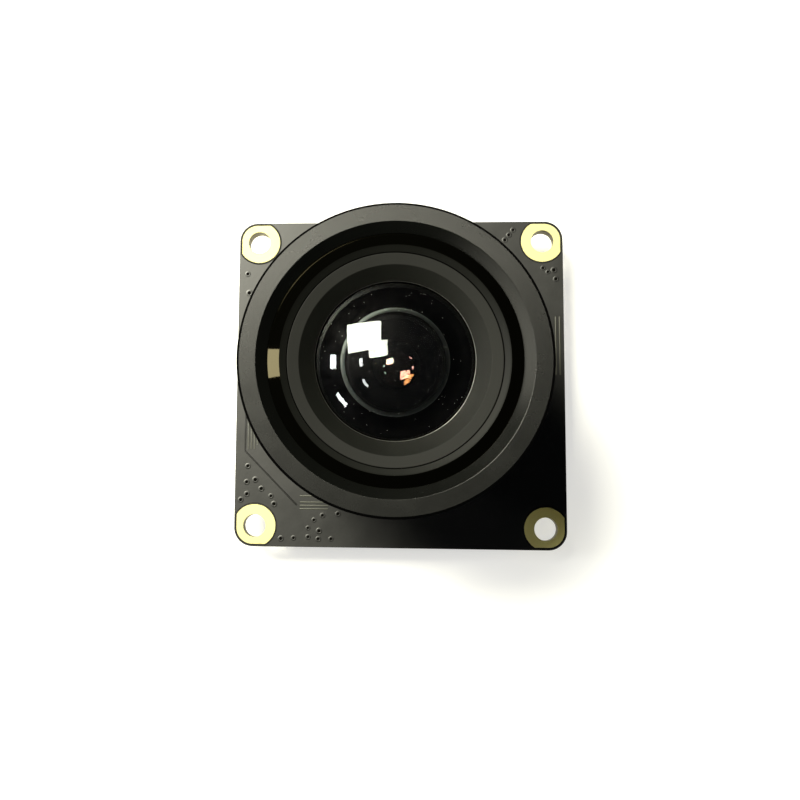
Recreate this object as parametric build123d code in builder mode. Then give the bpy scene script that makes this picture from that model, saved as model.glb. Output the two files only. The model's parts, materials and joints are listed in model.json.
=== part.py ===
"""Board camera module: a square circuit board that carries a wide-angle screw-in lens.

Frame: +Z points out of the lens, the lens axis is the Z axis, and Z = 0 is the plane
on which the tallest parts of the board's back face rest. Millimetres throughout.
Heights whose names end in _H are measured up from the front face of the board.
"""
import os
from dataclasses import dataclass
from math import copysign, sqrt

from build123d import *

# Board and its corner fixings
BOARD_SIDE = 32.0
BOARD_THICKNESS = 1.6
BOARD_CORNER = 1.8
HOLE_INSET = 2.0
HOLE_PITCH = BOARD_SIDE - 2 * HOLE_INSET
HOLE_RADIUS = 1.1
PLATING = 0.05
PAD_RADIUS = 2.05
PAD_EDGE_MARGIN = 0.25

# Stand of the board over the plane it rests on
BACK_CLEARANCE = 3.0
BOARD_BACK = BACK_CLEARANCE
BOARD_FRONT = BOARD_BACK + BOARD_THICKNESS

# Fits
SCREW_FIT = 0.02
THREAD_FIT = 0.05
SLIDE_FIT = 0.05

# Image sensor: ceramic package, die and cover glass
PACKAGE_LENGTH = 12.0
PACKAGE_WIDTH = 9.4
PACKAGE_HEIGHT = 1.2
PACKAGE_WALL = 1.4
PACKAGE_FLOOR = 0.5
DIE_MARGIN = 0.6
DIE_HEIGHT = 0.3
COVER_MARGIN = 0.6
COVER_HEIGHT = 0.5

# Screws that hold the lens holder from behind
SCREW_PITCH = 20.0
SCREW_RADIUS = 1.0
SCREW_REACH = 2.6
SCREW_HOLE_SPARE = 0.2
SCREW_HEAD_RADIUS = 1.8
SCREW_HEAD_HEIGHT = 1.2
SCREW_HEAD_CHAMFER = 0.35
RECESS_LENGTH = 1.9
RECESS_WIDTH = 0.45
RECESS_DEPTH = 0.6

# Lens thread
THREAD_RADIUS = 6.0

# Lens holder
HOLDER_ROOM = 0.6
HOLDER_WALL = 1.2
HOLDER_CORNER = 1.2
HOLDER_CHAMFER = 0.4
HOLDER_CAVITY = PACKAGE_LENGTH + 2 * HOLDER_ROOM
HOLDER_SIDE = HOLDER_CAVITY + 2 * HOLDER_WALL
HOLDER_CAVITY_H = 3.2
HOLDER_WEB = 0.8
HOLDER_WEB_H = HOLDER_CAVITY_H + HOLDER_WEB
HOLDER_SHOULDER = 0.4
HOLDER_BASE_H = HOLDER_WEB_H + HOLDER_SHOULDER
HOLDER_WINDOW_RADIUS = 4.6
COLLAR_WALL = 1.55
COLLAR_RADIUS = THREAD_RADIUS + THREAD_FIT + COLLAR_WALL
COLLAR_HEIGHT = 4.6
COLLAR_TOP_H = HOLDER_BASE_H + COLLAR_HEIGHT
EAR_WALL = 1.38
EAR_ROOF = 0.4
EAR_RADIUS = SCREW_RADIUS + SCREW_FIT + EAR_WALL
EAR_TOP_H = SCREW_REACH + SCREW_HOLE_SPARE + EAR_ROOF

# Infrared filter under the holder's web
FILTER_LEDGE = 0.4
FILTER_SIDE = 2 * (HOLDER_WINDOW_RADIUS + FILTER_LEDGE)
FILTER_HEIGHT = 0.3

# Lock ring on the lens thread
LOCK_OVERHANG = 0.8
LOCK_RADIUS = COLLAR_RADIUS + LOCK_OVERHANG
LOCK_HEIGHT = 1.8
LOCK_NOTCHES = 16
LOCK_NOTCH_RADIUS = 0.35

# Heights of the lens barrel and of the hood that sits on its stop
REAR_GAP = 1.0
BARREL_REAR_H = HOLDER_WEB_H + REAR_GAP
HEAD_GAP = 0.8
HEAD_START_H = COLLAR_TOP_H + LOCK_HEIGHT + HEAD_GAP
CONE_HEIGHT = 1.6
CONE_TOP_H = HEAD_START_H + CONE_HEIGHT
STOP_HEIGHT = 1.4
STOP_TOP_H = CONE_TOP_H + STOP_HEIGHT
HOOD_HEIGHT = 5.4
FACE_H = STOP_TOP_H + HOOD_HEIGHT
MOUTH_DEPTH = 0.75
GROOVE_H = FACE_H - MOUTH_DEPTH
SHOULDER_RISE = 0.38
RIM_H = GROOVE_H + SHOULDER_RISE
RIM_CHAMFER_DEPTH = 0.3
RING_BORE_TOP_H = RIM_H - RIM_CHAMFER_DEPTH

# Seats inside the barrel, from the front lens back to the rear retainer
FRONT_SEAT_DEPTH = 3.8
FRONT_SEAT_H = FACE_H - FRONT_SEAT_DEPTH
FRONT_LENS_EDGE = 1.55
RING_FOOT_H = FRONT_SEAT_H + FRONT_LENS_EDGE
SPACER_HEIGHT = 2.0
SPACER_SEAT_H = FRONT_SEAT_H - SPACER_HEIGHT
SECOND_LENS_EDGE = 1.6
SECOND_SEAT_H = SPACER_SEAT_H - SECOND_LENS_EDGE
LIP_HEIGHT = 0.7
LIP_H = SECOND_SEAT_H - LIP_HEIGHT
THIRD_LENS_EDGE = 1.0
STOP_CUP_TOP_H = LIP_H - THIRD_LENS_EDGE
STOP_CUP_HEIGHT = 1.6
STOP_CUP_FLOOR = 0.3
STOP_CUP_LOW_H = STOP_CUP_TOP_H - STOP_CUP_HEIGHT
FLINT_LENS_EDGE = 2.2
CEMENT_H = STOP_CUP_LOW_H - FLINT_LENS_EDGE
CROWN_LENS_EDGE = 0.8
RETAINER_TOP_H = CEMENT_H - CROWN_LENS_EDGE

# How far the polished faces bulge out of their rims, or are hollowed into them
FRONT_LENS_BULGE = 2.18
FRONT_LENS_HOLLOW = 1.11
SECOND_LENS_BULGE = 0.12
SECOND_LENS_HOLLOW = 1.37
THIRD_LENS_BULGE = 1.5
THIRD_LENS_BACK_BULGE = 0.95
FLINT_HOLLOW = 0.25
CEMENT_HOLLOW = 1.18
CEMENT_FILM = 0.03
CROWN_BACK_BULGE = 0.73

# Radii inside the barrel
REAR_BORE_RADIUS = 4.3
REAR_EDGE_RADIUS = REAR_BORE_RADIUS - SLIDE_FIT
REAR_LAND = 0.4
LIP_RADIUS = REAR_BORE_RADIUS - REAR_LAND
APERTURE_RADIUS = 1.6
SECOND_BORE_RADIUS = 5.45
SPACER_BORE_RADIUS = 6.55
SPACER_TOP_RADIUS = 3.95
SPACER_LOW_RADIUS = 2.1
SECOND_HOLLOW_RADIUS = 3.1
FLINT_HOLLOW_RADIUS = 3.6
FRONT_BORE_RADIUS = 8.4
RING_LAND = 0.55
RING_BORE_RADIUS = FRONT_BORE_RADIUS + RING_LAND

# Radii outside the barrel and of the hood
RIM_CHAMFER_WIDTH = 0.45
RIM_INNER_RADIUS = RING_BORE_RADIUS + RIM_CHAMFER_WIDTH
RIM_WIDTH = 0.1
RIM_OUTER_RADIUS = RIM_INNER_RADIUS + RIM_WIDTH
SHOULDER_WIDTH = 1.05
HEAD_RADIUS = RIM_OUTER_RADIUS + SHOULDER_WIDTH
STOP_OVERHANG = 1.05
STOP_RADIUS = HEAD_RADIUS + STOP_OVERHANG
HOOD_BORE_RADIUS = HEAD_RADIUS + THREAD_FIT
MOUTH_WIDTH = 0.82
HOOD_FACE_INNER_RADIUS = HOOD_BORE_RADIUS + MOUTH_WIDTH
FACE_WIDTH = 1.58
HOOD_RADIUS = HOOD_FACE_INNER_RADIUS + FACE_WIDTH
HOOD_FOOT = 0.3
HOOD_FOOT_RADIUS = STOP_RADIUS + HOOD_FOOT
HOOD_FLARE_HEIGHT = 2.0
HOOD_BREAK = 0.2

# Retaining ring of the front lens
RING_RADIUS = RING_BORE_RADIUS - THREAD_FIT
RING_SINK = 0.06
RING_TOP_H = RING_BORE_TOP_H - RING_SINK
RING_FLAT_WIDTH = 0.97
RING_STEP_RADIUS = RING_RADIUS - RING_FLAT_WIDTH
RING_FLAT_FALL = 0.14
RING_STEP_H = RING_TOP_H - RING_FLAT_FALL
RING_CONE_WIDTH = 1.28
RING_LIP_RADIUS = RING_STEP_RADIUS - RING_CONE_WIDTH
RING_LIP_HEIGHT = 0.12
RING_FOOT_WIDTH = 0.7
RING_FOOT_RADIUS = RING_LIP_RADIUS + RING_FOOT_WIDTH


@dataclass(frozen=True)
class Surface:
    """One polished face of a lens: the height and radius of its rim and its bulge.

    The bulge is how far the middle stands out of the plane of the rim; a hollow
    face has a negative one.
    """

    rim_h: float
    rim_radius: float
    bulge: float

    def curvature(self):
        """Radius of the sphere that the face is part of."""
        return (self.rim_radius**2 + self.bulge**2) / (2 * abs(self.bulge))

    def swell(self, radius):
        """How far the face stands out of the plane of its rim at a radius."""
        fall = self.curvature() - sqrt(self.curvature() ** 2 - radius**2)
        return self.bulge - copysign(fall, self.bulge)


@dataclass(frozen=True)
class LensElement:
    """A lens: the radius of its ground edge and its two polished faces."""

    name: str
    edge_radius: float
    front: Surface
    back: Surface


LENSES = (
    LensElement(
        "front_lens",
        FRONT_BORE_RADIUS - SLIDE_FIT,
        Surface(RING_FOOT_H, RING_FOOT_RADIUS - 3 * SLIDE_FIT, FRONT_LENS_BULGE),
        Surface(FRONT_SEAT_H, SPACER_TOP_RADIUS - SLIDE_FIT, -FRONT_LENS_HOLLOW),
    ),
    LensElement(
        "second_lens",
        SECOND_BORE_RADIUS - SLIDE_FIT,
        Surface(SPACER_SEAT_H, SPACER_LOW_RADIUS - SLIDE_FIT, SECOND_LENS_BULGE),
        Surface(SECOND_SEAT_H, SECOND_HOLLOW_RADIUS, -SECOND_LENS_HOLLOW),
    ),
    LensElement(
        "third_lens",
        REAR_EDGE_RADIUS,
        Surface(LIP_H, LIP_RADIUS - 2 * SLIDE_FIT, THIRD_LENS_BULGE),
        Surface(STOP_CUP_TOP_H, LIP_RADIUS - 4 * SLIDE_FIT, THIRD_LENS_BACK_BULGE),
    ),
    LensElement(
        "flint_lens",
        REAR_EDGE_RADIUS,
        Surface(STOP_CUP_LOW_H, FLINT_HOLLOW_RADIUS, -FLINT_HOLLOW),
        Surface(CEMENT_H, LIP_RADIUS, -CEMENT_HOLLOW),
    ),
    LensElement(
        "crown_lens",
        REAR_EDGE_RADIUS,
        Surface(CEMENT_H, LIP_RADIUS - SLIDE_FIT, CEMENT_HOLLOW - CEMENT_FILM),
        Surface(RETAINER_TOP_H, LIP_RADIUS - 3 * SLIDE_FIT, CROWN_BACK_BULGE),
    ),
)
FRONT_DOME = LENSES[0].front
RING_LIP_LOW_H = RING_FOOT_H + FRONT_DOME.swell(RING_LIP_RADIUS) + SLIDE_FIT
RING_LIP_TOP_H = RING_LIP_LOW_H + RING_LIP_HEIGHT

# Parts on the back of the board, as (x, y) centres seen from the front
PROCESSOR_SIDE = 10.0
PROCESSOR_HEIGHT = 0.9
PROCESSOR_CENTRE = (0.0, 1.6)
PROCESSOR_LEADS_PER_SIDE = 18
PROCESSOR_LEAD_PITCH = 0.5
PROCESSOR_LEAD_WIDTH = 0.24
PROCESSOR_LEAD_REACH = 0.35
PROCESSOR_LEAD_HEIGHT = 0.2
PROCESSOR_CHAMFER = 0.1
DIMPLE_INSET = 1.2
DIMPLE_RADIUS = 0.4
DIMPLE_DEPTH = 0.08

FLASH_BODY = (4.9, 3.9, 1.5)
FLASH_CENTRE = (-8.2, -7.4)

REGULATOR_BODY = (2.9, 1.6, 1.1)
REGULATOR_CENTRES = ((6.2, -9.4), (10.6, -6.6))

LEAD_THICKNESS = 0.16
LEAD_FOOT = 0.45
BODY_DRAFT_DEGREES = 10


@dataclass(frozen=True)
class BentLeads:
    """Bent leads of a chip: how many on each side, their pitch, width and reach."""

    per_side: int
    pitch: float
    width: float
    reach: float


FLASH_LEADS = BentLeads(per_side=4, pitch=1.27, width=0.42, reach=3.0)
REGULATOR_LEADS = BentLeads(per_side=3, pitch=0.95, width=0.4, reach=1.4)

CRYSTAL_SIZE = (3.2, 2.5)
CRYSTAL_CENTRE = (7.4, -3.6)
CRYSTAL_BASE_HEIGHT = 0.35
CRYSTAL_CAN_HEIGHT = 0.4
CRYSTAL_CAN_MARGIN = 0.15
CRYSTAL_CORNER = 0.2
CRYSTAL_CAN_CHAMFER = 0.1

INDUCTOR_SIDE = 4.2
INDUCTOR_CENTRE = (0.0, -9.6)
INDUCTOR_CHAMFER = 0.8
INDUCTOR_FILLET = 0.2
INDUCTOR_TERMINAL = (1.0, 2.6, 0.3)

TANTALUM_BODY = (3.5, 2.8, 1.9)
TANTALUM_CENTRES = ((-5.4, 10.8), (5.2, 10.8))
TANTALUM_TERMINAL = (0.25, 2.2, 1.1)

# Small two-ended chips: ceramic middle and metal ends
CHIP_LENGTH = 1.0
CHIP_WIDTH = 0.5
CAPACITOR_HEIGHT = 0.5
RESISTOR_HEIGHT = 0.35
CHIP_END = 0.25
CHIP_ROW_GAP = 0.7
CHIP_COLUMNS = (-3.6, -1.2, 1.2, 3.6)
CHIP_ROWS = (2.0, 3.3, 4.6)
CHIP_COLUMN_STEP = 1.7
FRONT_CHIP_GAP = 1.3
FRONT_CHIP_Y = HOLDER_SIDE / 2 + FRONT_CHIP_GAP + CHIP_WIDTH / 2
PROCESSOR_REACH = PROCESSOR_SIDE / 2 + PROCESSOR_LEAD_REACH + CHIP_ROW_GAP
ROW_REACH = PROCESSOR_REACH + CHIP_WIDTH / 2
COLUMN_REACH = PROCESSOR_REACH + CHIP_LENGTH / 2
FRONT_CAPACITOR_SPOTS = [(x, side * FRONT_CHIP_Y) for x in CHIP_COLUMNS for side in (-1, 1)]
BACK_CAPACITOR_SPOTS = [
    (PROCESSOR_CENTRE[0] + x, PROCESSOR_CENTRE[1] + side * ROW_REACH)
    for x in CHIP_COLUMNS
    for side in (-1, 1)
]
BACK_RESISTOR_SPOTS = [
    (PROCESSOR_CENTRE[0] + side * (COLUMN_REACH + column), PROCESSOR_CENTRE[1] + y)
    for side in (-1, 1)
    for column in (0, CHIP_COLUMN_STEP)
    for y in CHIP_ROWS
]

# Cable sockets on the back, opening through the left and right edges
SOCKET_PITCH = 1.25
SOCKET_SIDE_ROOM = 1.5
SOCKET_DEPTH = 4.2
SOCKET_HEIGHT = BACK_CLEARANCE
SOCKET_WALL = 0.5
SOCKET_BACK_WALL = 1.0
SOCKET_KEY_WIDTH = 0.7
SOCKET_EDGE_GAP = 0.2
SOCKET_ROW_Y = 6.4
PIN_SIDE = 0.4
PIN_HEIGHT = 1.3
PIN_TIP_SETBACK = 0.9
PIN_TAIL = 0.8
TAB_SIZE = (0.35, 1.8, 1.2)
CABLE_SOCKET_PINS = 4
AUDIO_SOCKET_PINS = 2


def above_board(height):
    """Plane parallel to the board at a height above its front face."""
    return Plane.XY.offset(BOARD_FRONT + height)


def turned(points):
    """Closed outline in the plane of the axis, from (radius, height above board) points."""
    return [(radius, BOARD_FRONT + height) for radius, height in points]


def back_plane(centre):
    """Plane on the back of the board at a centre, whose height grows away from the board."""
    return Plane(origin=(centre[0], centre[1], BOARD_BACK), x_dir=(1, 0, 0), z_dir=(0, 0, -1))


def front_plane(centre):
    """Plane on the front of the board at a centre."""
    return Plane(origin=(centre[0], centre[1], BOARD_FRONT), x_dir=(1, 0, 0), z_dir=(0, 0, 1))


def save(part, label):
    """Label a finished piece and write it as its own STEP file."""
    part.label = label
    export_step(part, f"parts/{label}.step")
    print(label, "solids", len(part.solids()), "volume", round(part.volume, 3))


def make_circuit_board():
    """Glass-fibre board with plated corner holes and two clearance holes for the holder."""
    with BuildPart() as circuit_board:
        with BuildSketch(Plane.XY.offset(BOARD_BACK)):
            RectangleRounded(BOARD_SIDE, BOARD_SIDE, BOARD_CORNER)
            with GridLocations(HOLE_PITCH, HOLE_PITCH, 2, 2):
                Circle(HOLE_RADIUS + PLATING, mode=Mode.SUBTRACT)
            with GridLocations(SCREW_PITCH, 0, 2, 1):
                Circle(SCREW_RADIUS + THREAD_FIT, mode=Mode.SUBTRACT)
        extrude(amount=BOARD_THICKNESS)
    save(circuit_board.part, "circuit_board")


def make_mounting_pads():
    """Gold plating of each corner hole: a sleeve with a ring pad on both faces."""
    ring_side = BOARD_SIDE - 2 * PAD_EDGE_MARGIN
    ring_corner = BOARD_CORNER - PAD_EDGE_MARGIN
    with BuildPart() as mounting_pads:
        for face in (BOARD_BACK - PLATING, BOARD_FRONT):
            with BuildSketch(Plane.XY.offset(face)):
                with GridLocations(HOLE_PITCH, HOLE_PITCH, 2, 2):
                    Circle(PAD_RADIUS)
                RectangleRounded(ring_side, ring_side, ring_corner, mode=Mode.INTERSECT)
            extrude(amount=PLATING)
        with BuildSketch(Plane.XY.offset(BOARD_BACK)):
            with GridLocations(HOLE_PITCH, HOLE_PITCH, 2, 2):
                Circle(HOLE_RADIUS + PLATING)
        extrude(amount=BOARD_THICKNESS)
        with BuildSketch(Plane.XY.offset(BOARD_BACK - PLATING)):
            with GridLocations(HOLE_PITCH, HOLE_PITCH, 2, 2):
                Circle(HOLE_RADIUS)
        extrude(amount=BOARD_THICKNESS + 2 * PLATING, mode=Mode.SUBTRACT)
    save(mounting_pads.part, "mounting_pads")


def make_image_sensor():
    """Open ceramic package with a ledge round its cavity."""
    with BuildPart() as image_sensor:
        with BuildSketch(above_board(0)):
            Rectangle(PACKAGE_LENGTH, PACKAGE_WIDTH)
        extrude(amount=PACKAGE_HEIGHT)
        with BuildSketch(above_board(PACKAGE_FLOOR)):
            Rectangle(PACKAGE_LENGTH - 2 * PACKAGE_WALL, PACKAGE_WIDTH - 2 * PACKAGE_WALL)
        extrude(amount=PACKAGE_HEIGHT - PACKAGE_FLOOR, mode=Mode.SUBTRACT)
    save(image_sensor.part, "image_sensor")


def make_sensor_die():
    """Silicon die bonded to the floor of the package."""
    die_inset = PACKAGE_WALL + DIE_MARGIN
    with BuildPart() as sensor_die:
        with BuildSketch(above_board(PACKAGE_FLOOR)):
            Rectangle(PACKAGE_LENGTH - 2 * die_inset, PACKAGE_WIDTH - 2 * die_inset)
        extrude(amount=DIE_HEIGHT)
    save(sensor_die.part, "sensor_die")


def make_sensor_glass():
    """Cover glass sealed on the rim of the package."""
    with BuildPart() as sensor_glass:
        with BuildSketch(above_board(PACKAGE_HEIGHT)):
            Rectangle(PACKAGE_LENGTH - 2 * COVER_MARGIN, PACKAGE_WIDTH - 2 * COVER_MARGIN)
        extrude(amount=COVER_HEIGHT)
    save(sensor_glass.part, "sensor_glass")


def make_infrared_filter():
    """Square filter bonded under the web of the holder."""
    with BuildPart() as infrared_filter:
        with BuildSketch(above_board(HOLDER_CAVITY_H - FILTER_HEIGHT)):
            Rectangle(FILTER_SIDE, FILTER_SIDE)
        extrude(amount=FILTER_HEIGHT)
    save(infrared_filter.part, "infrared_filter")


def make_lens_holder():
    """Moulded holder: a square shade box, two screw ears and a threaded collar."""
    with BuildPart() as lens_holder:
        with BuildSketch(above_board(0)):
            RectangleRounded(HOLDER_SIDE, HOLDER_SIDE, HOLDER_CORNER)
        extrude(amount=HOLDER_BASE_H)
        chamfer(lens_holder.faces().sort_by(Axis.Z)[-1].edges(), HOLDER_CHAMFER)
        with BuildSketch(above_board(0)):
            SlotCenterToCenter(SCREW_PITCH, 2 * EAR_RADIUS)
        extrude(amount=EAR_TOP_H)
        with BuildSketch(above_board(0)):
            Circle(COLLAR_RADIUS)
        extrude(amount=COLLAR_TOP_H)
        with BuildSketch(above_board(0)):
            Rectangle(HOLDER_CAVITY, HOLDER_CAVITY)
        extrude(amount=HOLDER_CAVITY_H, mode=Mode.SUBTRACT)
        with BuildSketch(above_board(0)):
            Circle(HOLDER_WINDOW_RADIUS)
        extrude(amount=COLLAR_TOP_H, mode=Mode.SUBTRACT)
        with BuildSketch(above_board(HOLDER_WEB_H)):
            Circle(THREAD_RADIUS + THREAD_FIT)
        extrude(amount=COLLAR_TOP_H - HOLDER_WEB_H, mode=Mode.SUBTRACT)
        with BuildSketch(above_board(0)):
            with GridLocations(SCREW_PITCH, 0, 2, 1):
                Circle(SCREW_RADIUS + SCREW_FIT)
        extrude(amount=SCREW_REACH + SCREW_HOLE_SPARE, mode=Mode.SUBTRACT)
    save(lens_holder.part, "lens_holder")


def make_holder_screws():
    """Two pan-head screws driven from the back of the board into the ears."""
    head_plane = Plane.XY.offset(BOARD_BACK - SCREW_HEAD_HEIGHT)
    with BuildPart() as holder_screws:
        with BuildSketch(head_plane):
            with GridLocations(SCREW_PITCH, 0, 2, 1):
                Circle(SCREW_HEAD_RADIUS)
        extrude(amount=SCREW_HEAD_HEIGHT)
        chamfer(holder_screws.faces().sort_by(Axis.Z)[:2].edges(), SCREW_HEAD_CHAMFER)
        with BuildSketch(Plane.XY.offset(BOARD_BACK)):
            with GridLocations(SCREW_PITCH, 0, 2, 1):
                Circle(SCREW_RADIUS)
        extrude(amount=BOARD_THICKNESS + SCREW_REACH)
        with BuildSketch(head_plane):
            with GridLocations(SCREW_PITCH, 0, 2, 1):
                Rectangle(RECESS_LENGTH, RECESS_WIDTH)
                Rectangle(RECESS_WIDTH, RECESS_LENGTH)
        extrude(amount=RECESS_DEPTH, mode=Mode.SUBTRACT)
    save(holder_screws.part, "holder_screws")


def make_lock_ring():
    """Notched ring that locks the lens thread against the collar."""
    with BuildPart() as lock_ring:
        with BuildSketch(above_board(COLLAR_TOP_H)):
            Circle(LOCK_RADIUS)
            with PolarLocations(LOCK_RADIUS, LOCK_NOTCHES):
                Circle(LOCK_NOTCH_RADIUS, mode=Mode.SUBTRACT)
            Circle(THREAD_RADIUS + THREAD_FIT, mode=Mode.SUBTRACT)
        extrude(amount=LOCK_HEIGHT)
    save(lock_ring.part, "lock_ring")


def make_lens_barrel():
    """Turned barrel: thread, flared head, stop for the hood and stepped bores for the glass."""
    outline = turned(
        [
            (THREAD_RADIUS, BARREL_REAR_H),
            (THREAD_RADIUS, HEAD_START_H),
            (STOP_RADIUS, CONE_TOP_H),
            (STOP_RADIUS, STOP_TOP_H),
            (HEAD_RADIUS, STOP_TOP_H),
            (HEAD_RADIUS, GROOVE_H),
            (RIM_OUTER_RADIUS, RIM_H),
            (RIM_INNER_RADIUS, RIM_H),
            (RING_BORE_RADIUS, RING_BORE_TOP_H),
            (RING_BORE_RADIUS, RING_FOOT_H),
            (FRONT_BORE_RADIUS, RING_FOOT_H),
            (FRONT_BORE_RADIUS, FRONT_SEAT_H),
            (SPACER_BORE_RADIUS, FRONT_SEAT_H),
            (SPACER_BORE_RADIUS, SPACER_SEAT_H),
            (SECOND_BORE_RADIUS, SPACER_SEAT_H),
            (SECOND_BORE_RADIUS, SECOND_SEAT_H),
            (LIP_RADIUS, SECOND_SEAT_H),
            (LIP_RADIUS, LIP_H),
            (REAR_BORE_RADIUS, LIP_H),
            (REAR_BORE_RADIUS, BARREL_REAR_H),
        ]
    )
    with BuildPart() as lens_barrel:
        with BuildSketch(Plane.XZ):
            with BuildLine():
                Polyline(*outline, close=True)
            make_face()
        revolve(axis=Axis.Z)
    save(lens_barrel.part, "lens_barrel")


def make_front_hood():
    """Wide hood ring screwed over the head of the barrel, with a chamfered mouth."""
    outline = turned(
        [
            (HOOD_BORE_RADIUS, STOP_TOP_H),
            (HOOD_FOOT_RADIUS, STOP_TOP_H),
            (HOOD_RADIUS, STOP_TOP_H + HOOD_FLARE_HEIGHT),
            (HOOD_RADIUS, FACE_H - HOOD_BREAK),
            (HOOD_RADIUS - HOOD_BREAK, FACE_H),
            (HOOD_FACE_INNER_RADIUS, FACE_H),
            (HOOD_BORE_RADIUS, GROOVE_H),
        ]
    )
    with BuildPart() as front_hood:
        with BuildSketch(Plane.XZ):
            with BuildLine():
                Polyline(*outline, close=True)
            make_face()
        revolve(axis=Axis.Z)
    save(front_hood.part, "front_hood")


def make_retaining_ring():
    """Threaded ring that clamps the front lens; its mouth is an inward cone."""
    outline = turned(
        [
            (RING_RADIUS, RING_FOOT_H),
            (RING_RADIUS, RING_TOP_H),
            (RING_STEP_RADIUS, RING_STEP_H),
            (RING_LIP_RADIUS, RING_LIP_TOP_H),
            (RING_LIP_RADIUS, RING_LIP_LOW_H),
            (RING_FOOT_RADIUS, RING_FOOT_H),
        ]
    )
    with BuildPart() as retaining_ring:
        with BuildSketch(Plane.XZ):
            with BuildLine():
                Polyline(*outline, close=True)
            make_face()
        revolve(axis=Axis.Z)
    save(retaining_ring.part, "retaining_ring")


def make_lens(lens):
    """Turn one lens about the optical axis from its two faces and its ground edge."""
    front = lens.front
    back = lens.back
    front_pole = front.rim_h + front.swell(0)
    back_pole = back.rim_h - back.swell(0)
    front_half = (front.rim_radius / 2, front.rim_h + front.swell(front.rim_radius / 2))
    back_half = (back.rim_radius / 2, back.rim_h - back.swell(back.rim_radius / 2))
    with BuildPart() as element:
        with BuildSketch(Plane.XZ):
            with BuildLine():
                ThreePointArc(*turned([(0, front_pole), front_half, (front.rim_radius, front.rim_h)]))
                Polyline(
                    *turned(
                        [
                            (front.rim_radius, front.rim_h),
                            (lens.edge_radius, front.rim_h),
                            (lens.edge_radius, back.rim_h),
                            (back.rim_radius, back.rim_h),
                        ]
                    )
                )
                ThreePointArc(*turned([(back.rim_radius, back.rim_h), back_half, (0, back_pole)]))
                Line(*turned([(0, back_pole), (0, front_pole)]))
            make_face()
        revolve(axis=Axis.Z)
    save(element.part, lens.name)


def make_spacer_ring():
    """Blackened spacer between the front and second lenses, with a conical mouth."""
    outline = turned(
        [
            (SPACER_BORE_RADIUS - SLIDE_FIT, SPACER_SEAT_H),
            (SPACER_BORE_RADIUS - SLIDE_FIT, FRONT_SEAT_H),
            (SPACER_TOP_RADIUS, FRONT_SEAT_H),
            (SPACER_LOW_RADIUS, SPACER_SEAT_H),
        ]
    )
    with BuildPart() as spacer_ring:
        with BuildSketch(Plane.XZ):
            with BuildLine():
                Polyline(*outline, close=True)
            make_face()
        revolve(axis=Axis.Z)
    save(spacer_ring.part, "spacer_ring")


def make_aperture_stop():
    """Cup that spaces the rear lenses apart and carries the aperture in its floor."""
    outline = turned(
        [
            (APERTURE_RADIUS, STOP_CUP_LOW_H),
            (REAR_EDGE_RADIUS, STOP_CUP_LOW_H),
            (REAR_EDGE_RADIUS, STOP_CUP_TOP_H),
            (LIP_RADIUS, STOP_CUP_TOP_H),
            (LIP_RADIUS, STOP_CUP_LOW_H + STOP_CUP_FLOOR),
        ]
    )
    with BuildPart() as aperture_stop:
        with BuildSketch(Plane.XZ):
            with BuildLine():
                Polyline(*outline, close=True)
            make_face()
        revolve(axis=Axis.Z)
    save(aperture_stop.part, "aperture_stop")


def make_rear_retainer():
    """Threaded ring that holds the rear lenses in the barrel."""
    with BuildPart() as rear_retainer:
        with BuildSketch(above_board(BARREL_REAR_H)):
            Circle(REAR_EDGE_RADIUS)
            Circle(LIP_RADIUS, mode=Mode.SUBTRACT)
        extrude(amount=RETAINER_TOP_H - BARREL_REAR_H)
    save(rear_retainer.part, "rear_retainer")


def make_image_processor():
    """Flat square processor package with a pin-one dimple."""
    plane = back_plane(PROCESSOR_CENTRE)
    dimple = PROCESSOR_SIDE / 2 - DIMPLE_INSET
    with BuildPart() as image_processor:
        with BuildSketch(plane):
            Rectangle(PROCESSOR_SIDE, PROCESSOR_SIDE)
        extrude(amount=PROCESSOR_HEIGHT)
        chamfer(image_processor.faces().sort_by(Axis.Z)[0].edges(), PROCESSOR_CHAMFER)
        with BuildSketch(plane.offset(PROCESSOR_HEIGHT)):
            with Locations((-dimple, dimple)):
                Circle(DIMPLE_RADIUS)
        extrude(amount=-DIMPLE_DEPTH, mode=Mode.SUBTRACT)
    save(image_processor.part, "image_processor")


def make_processor_leads():
    """Solder lands round the four sides of the processor."""
    middle = (PROCESSOR_SIDE + PROCESSOR_LEAD_REACH) / 2
    with BuildPart() as processor_leads:
        with BuildSketch(back_plane(PROCESSOR_CENTRE)):
            for side in (-middle, middle):
                with Locations((side, 0)):
                    with GridLocations(0, PROCESSOR_LEAD_PITCH, 1, PROCESSOR_LEADS_PER_SIDE):
                        Rectangle(PROCESSOR_LEAD_REACH, PROCESSOR_LEAD_WIDTH)
                with Locations((0, side)):
                    with GridLocations(PROCESSOR_LEAD_PITCH, 0, PROCESSOR_LEADS_PER_SIDE, 1):
                        Rectangle(PROCESSOR_LEAD_WIDTH, PROCESSOR_LEAD_REACH)
        extrude(amount=PROCESSOR_LEAD_HEIGHT)
    save(processor_leads.part, "processor_leads")


def moulded_bodies(centres, size):
    """Moulded chip bodies with drafted tops on the back of the board."""
    length, width, height = size
    with BuildPart() as bodies:
        for centre in centres:
            plane = back_plane(centre)
            with BuildSketch(plane.offset(LEAD_THICKNESS / 2)):
                Rectangle(length, width)
            extrude(amount=(height - LEAD_THICKNESS) / 2)
            with BuildSketch(plane.offset(height / 2)):
                Rectangle(length, width)
            extrude(amount=height / 2, taper=BODY_DRAFT_DEGREES)
    return bodies.part


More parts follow.
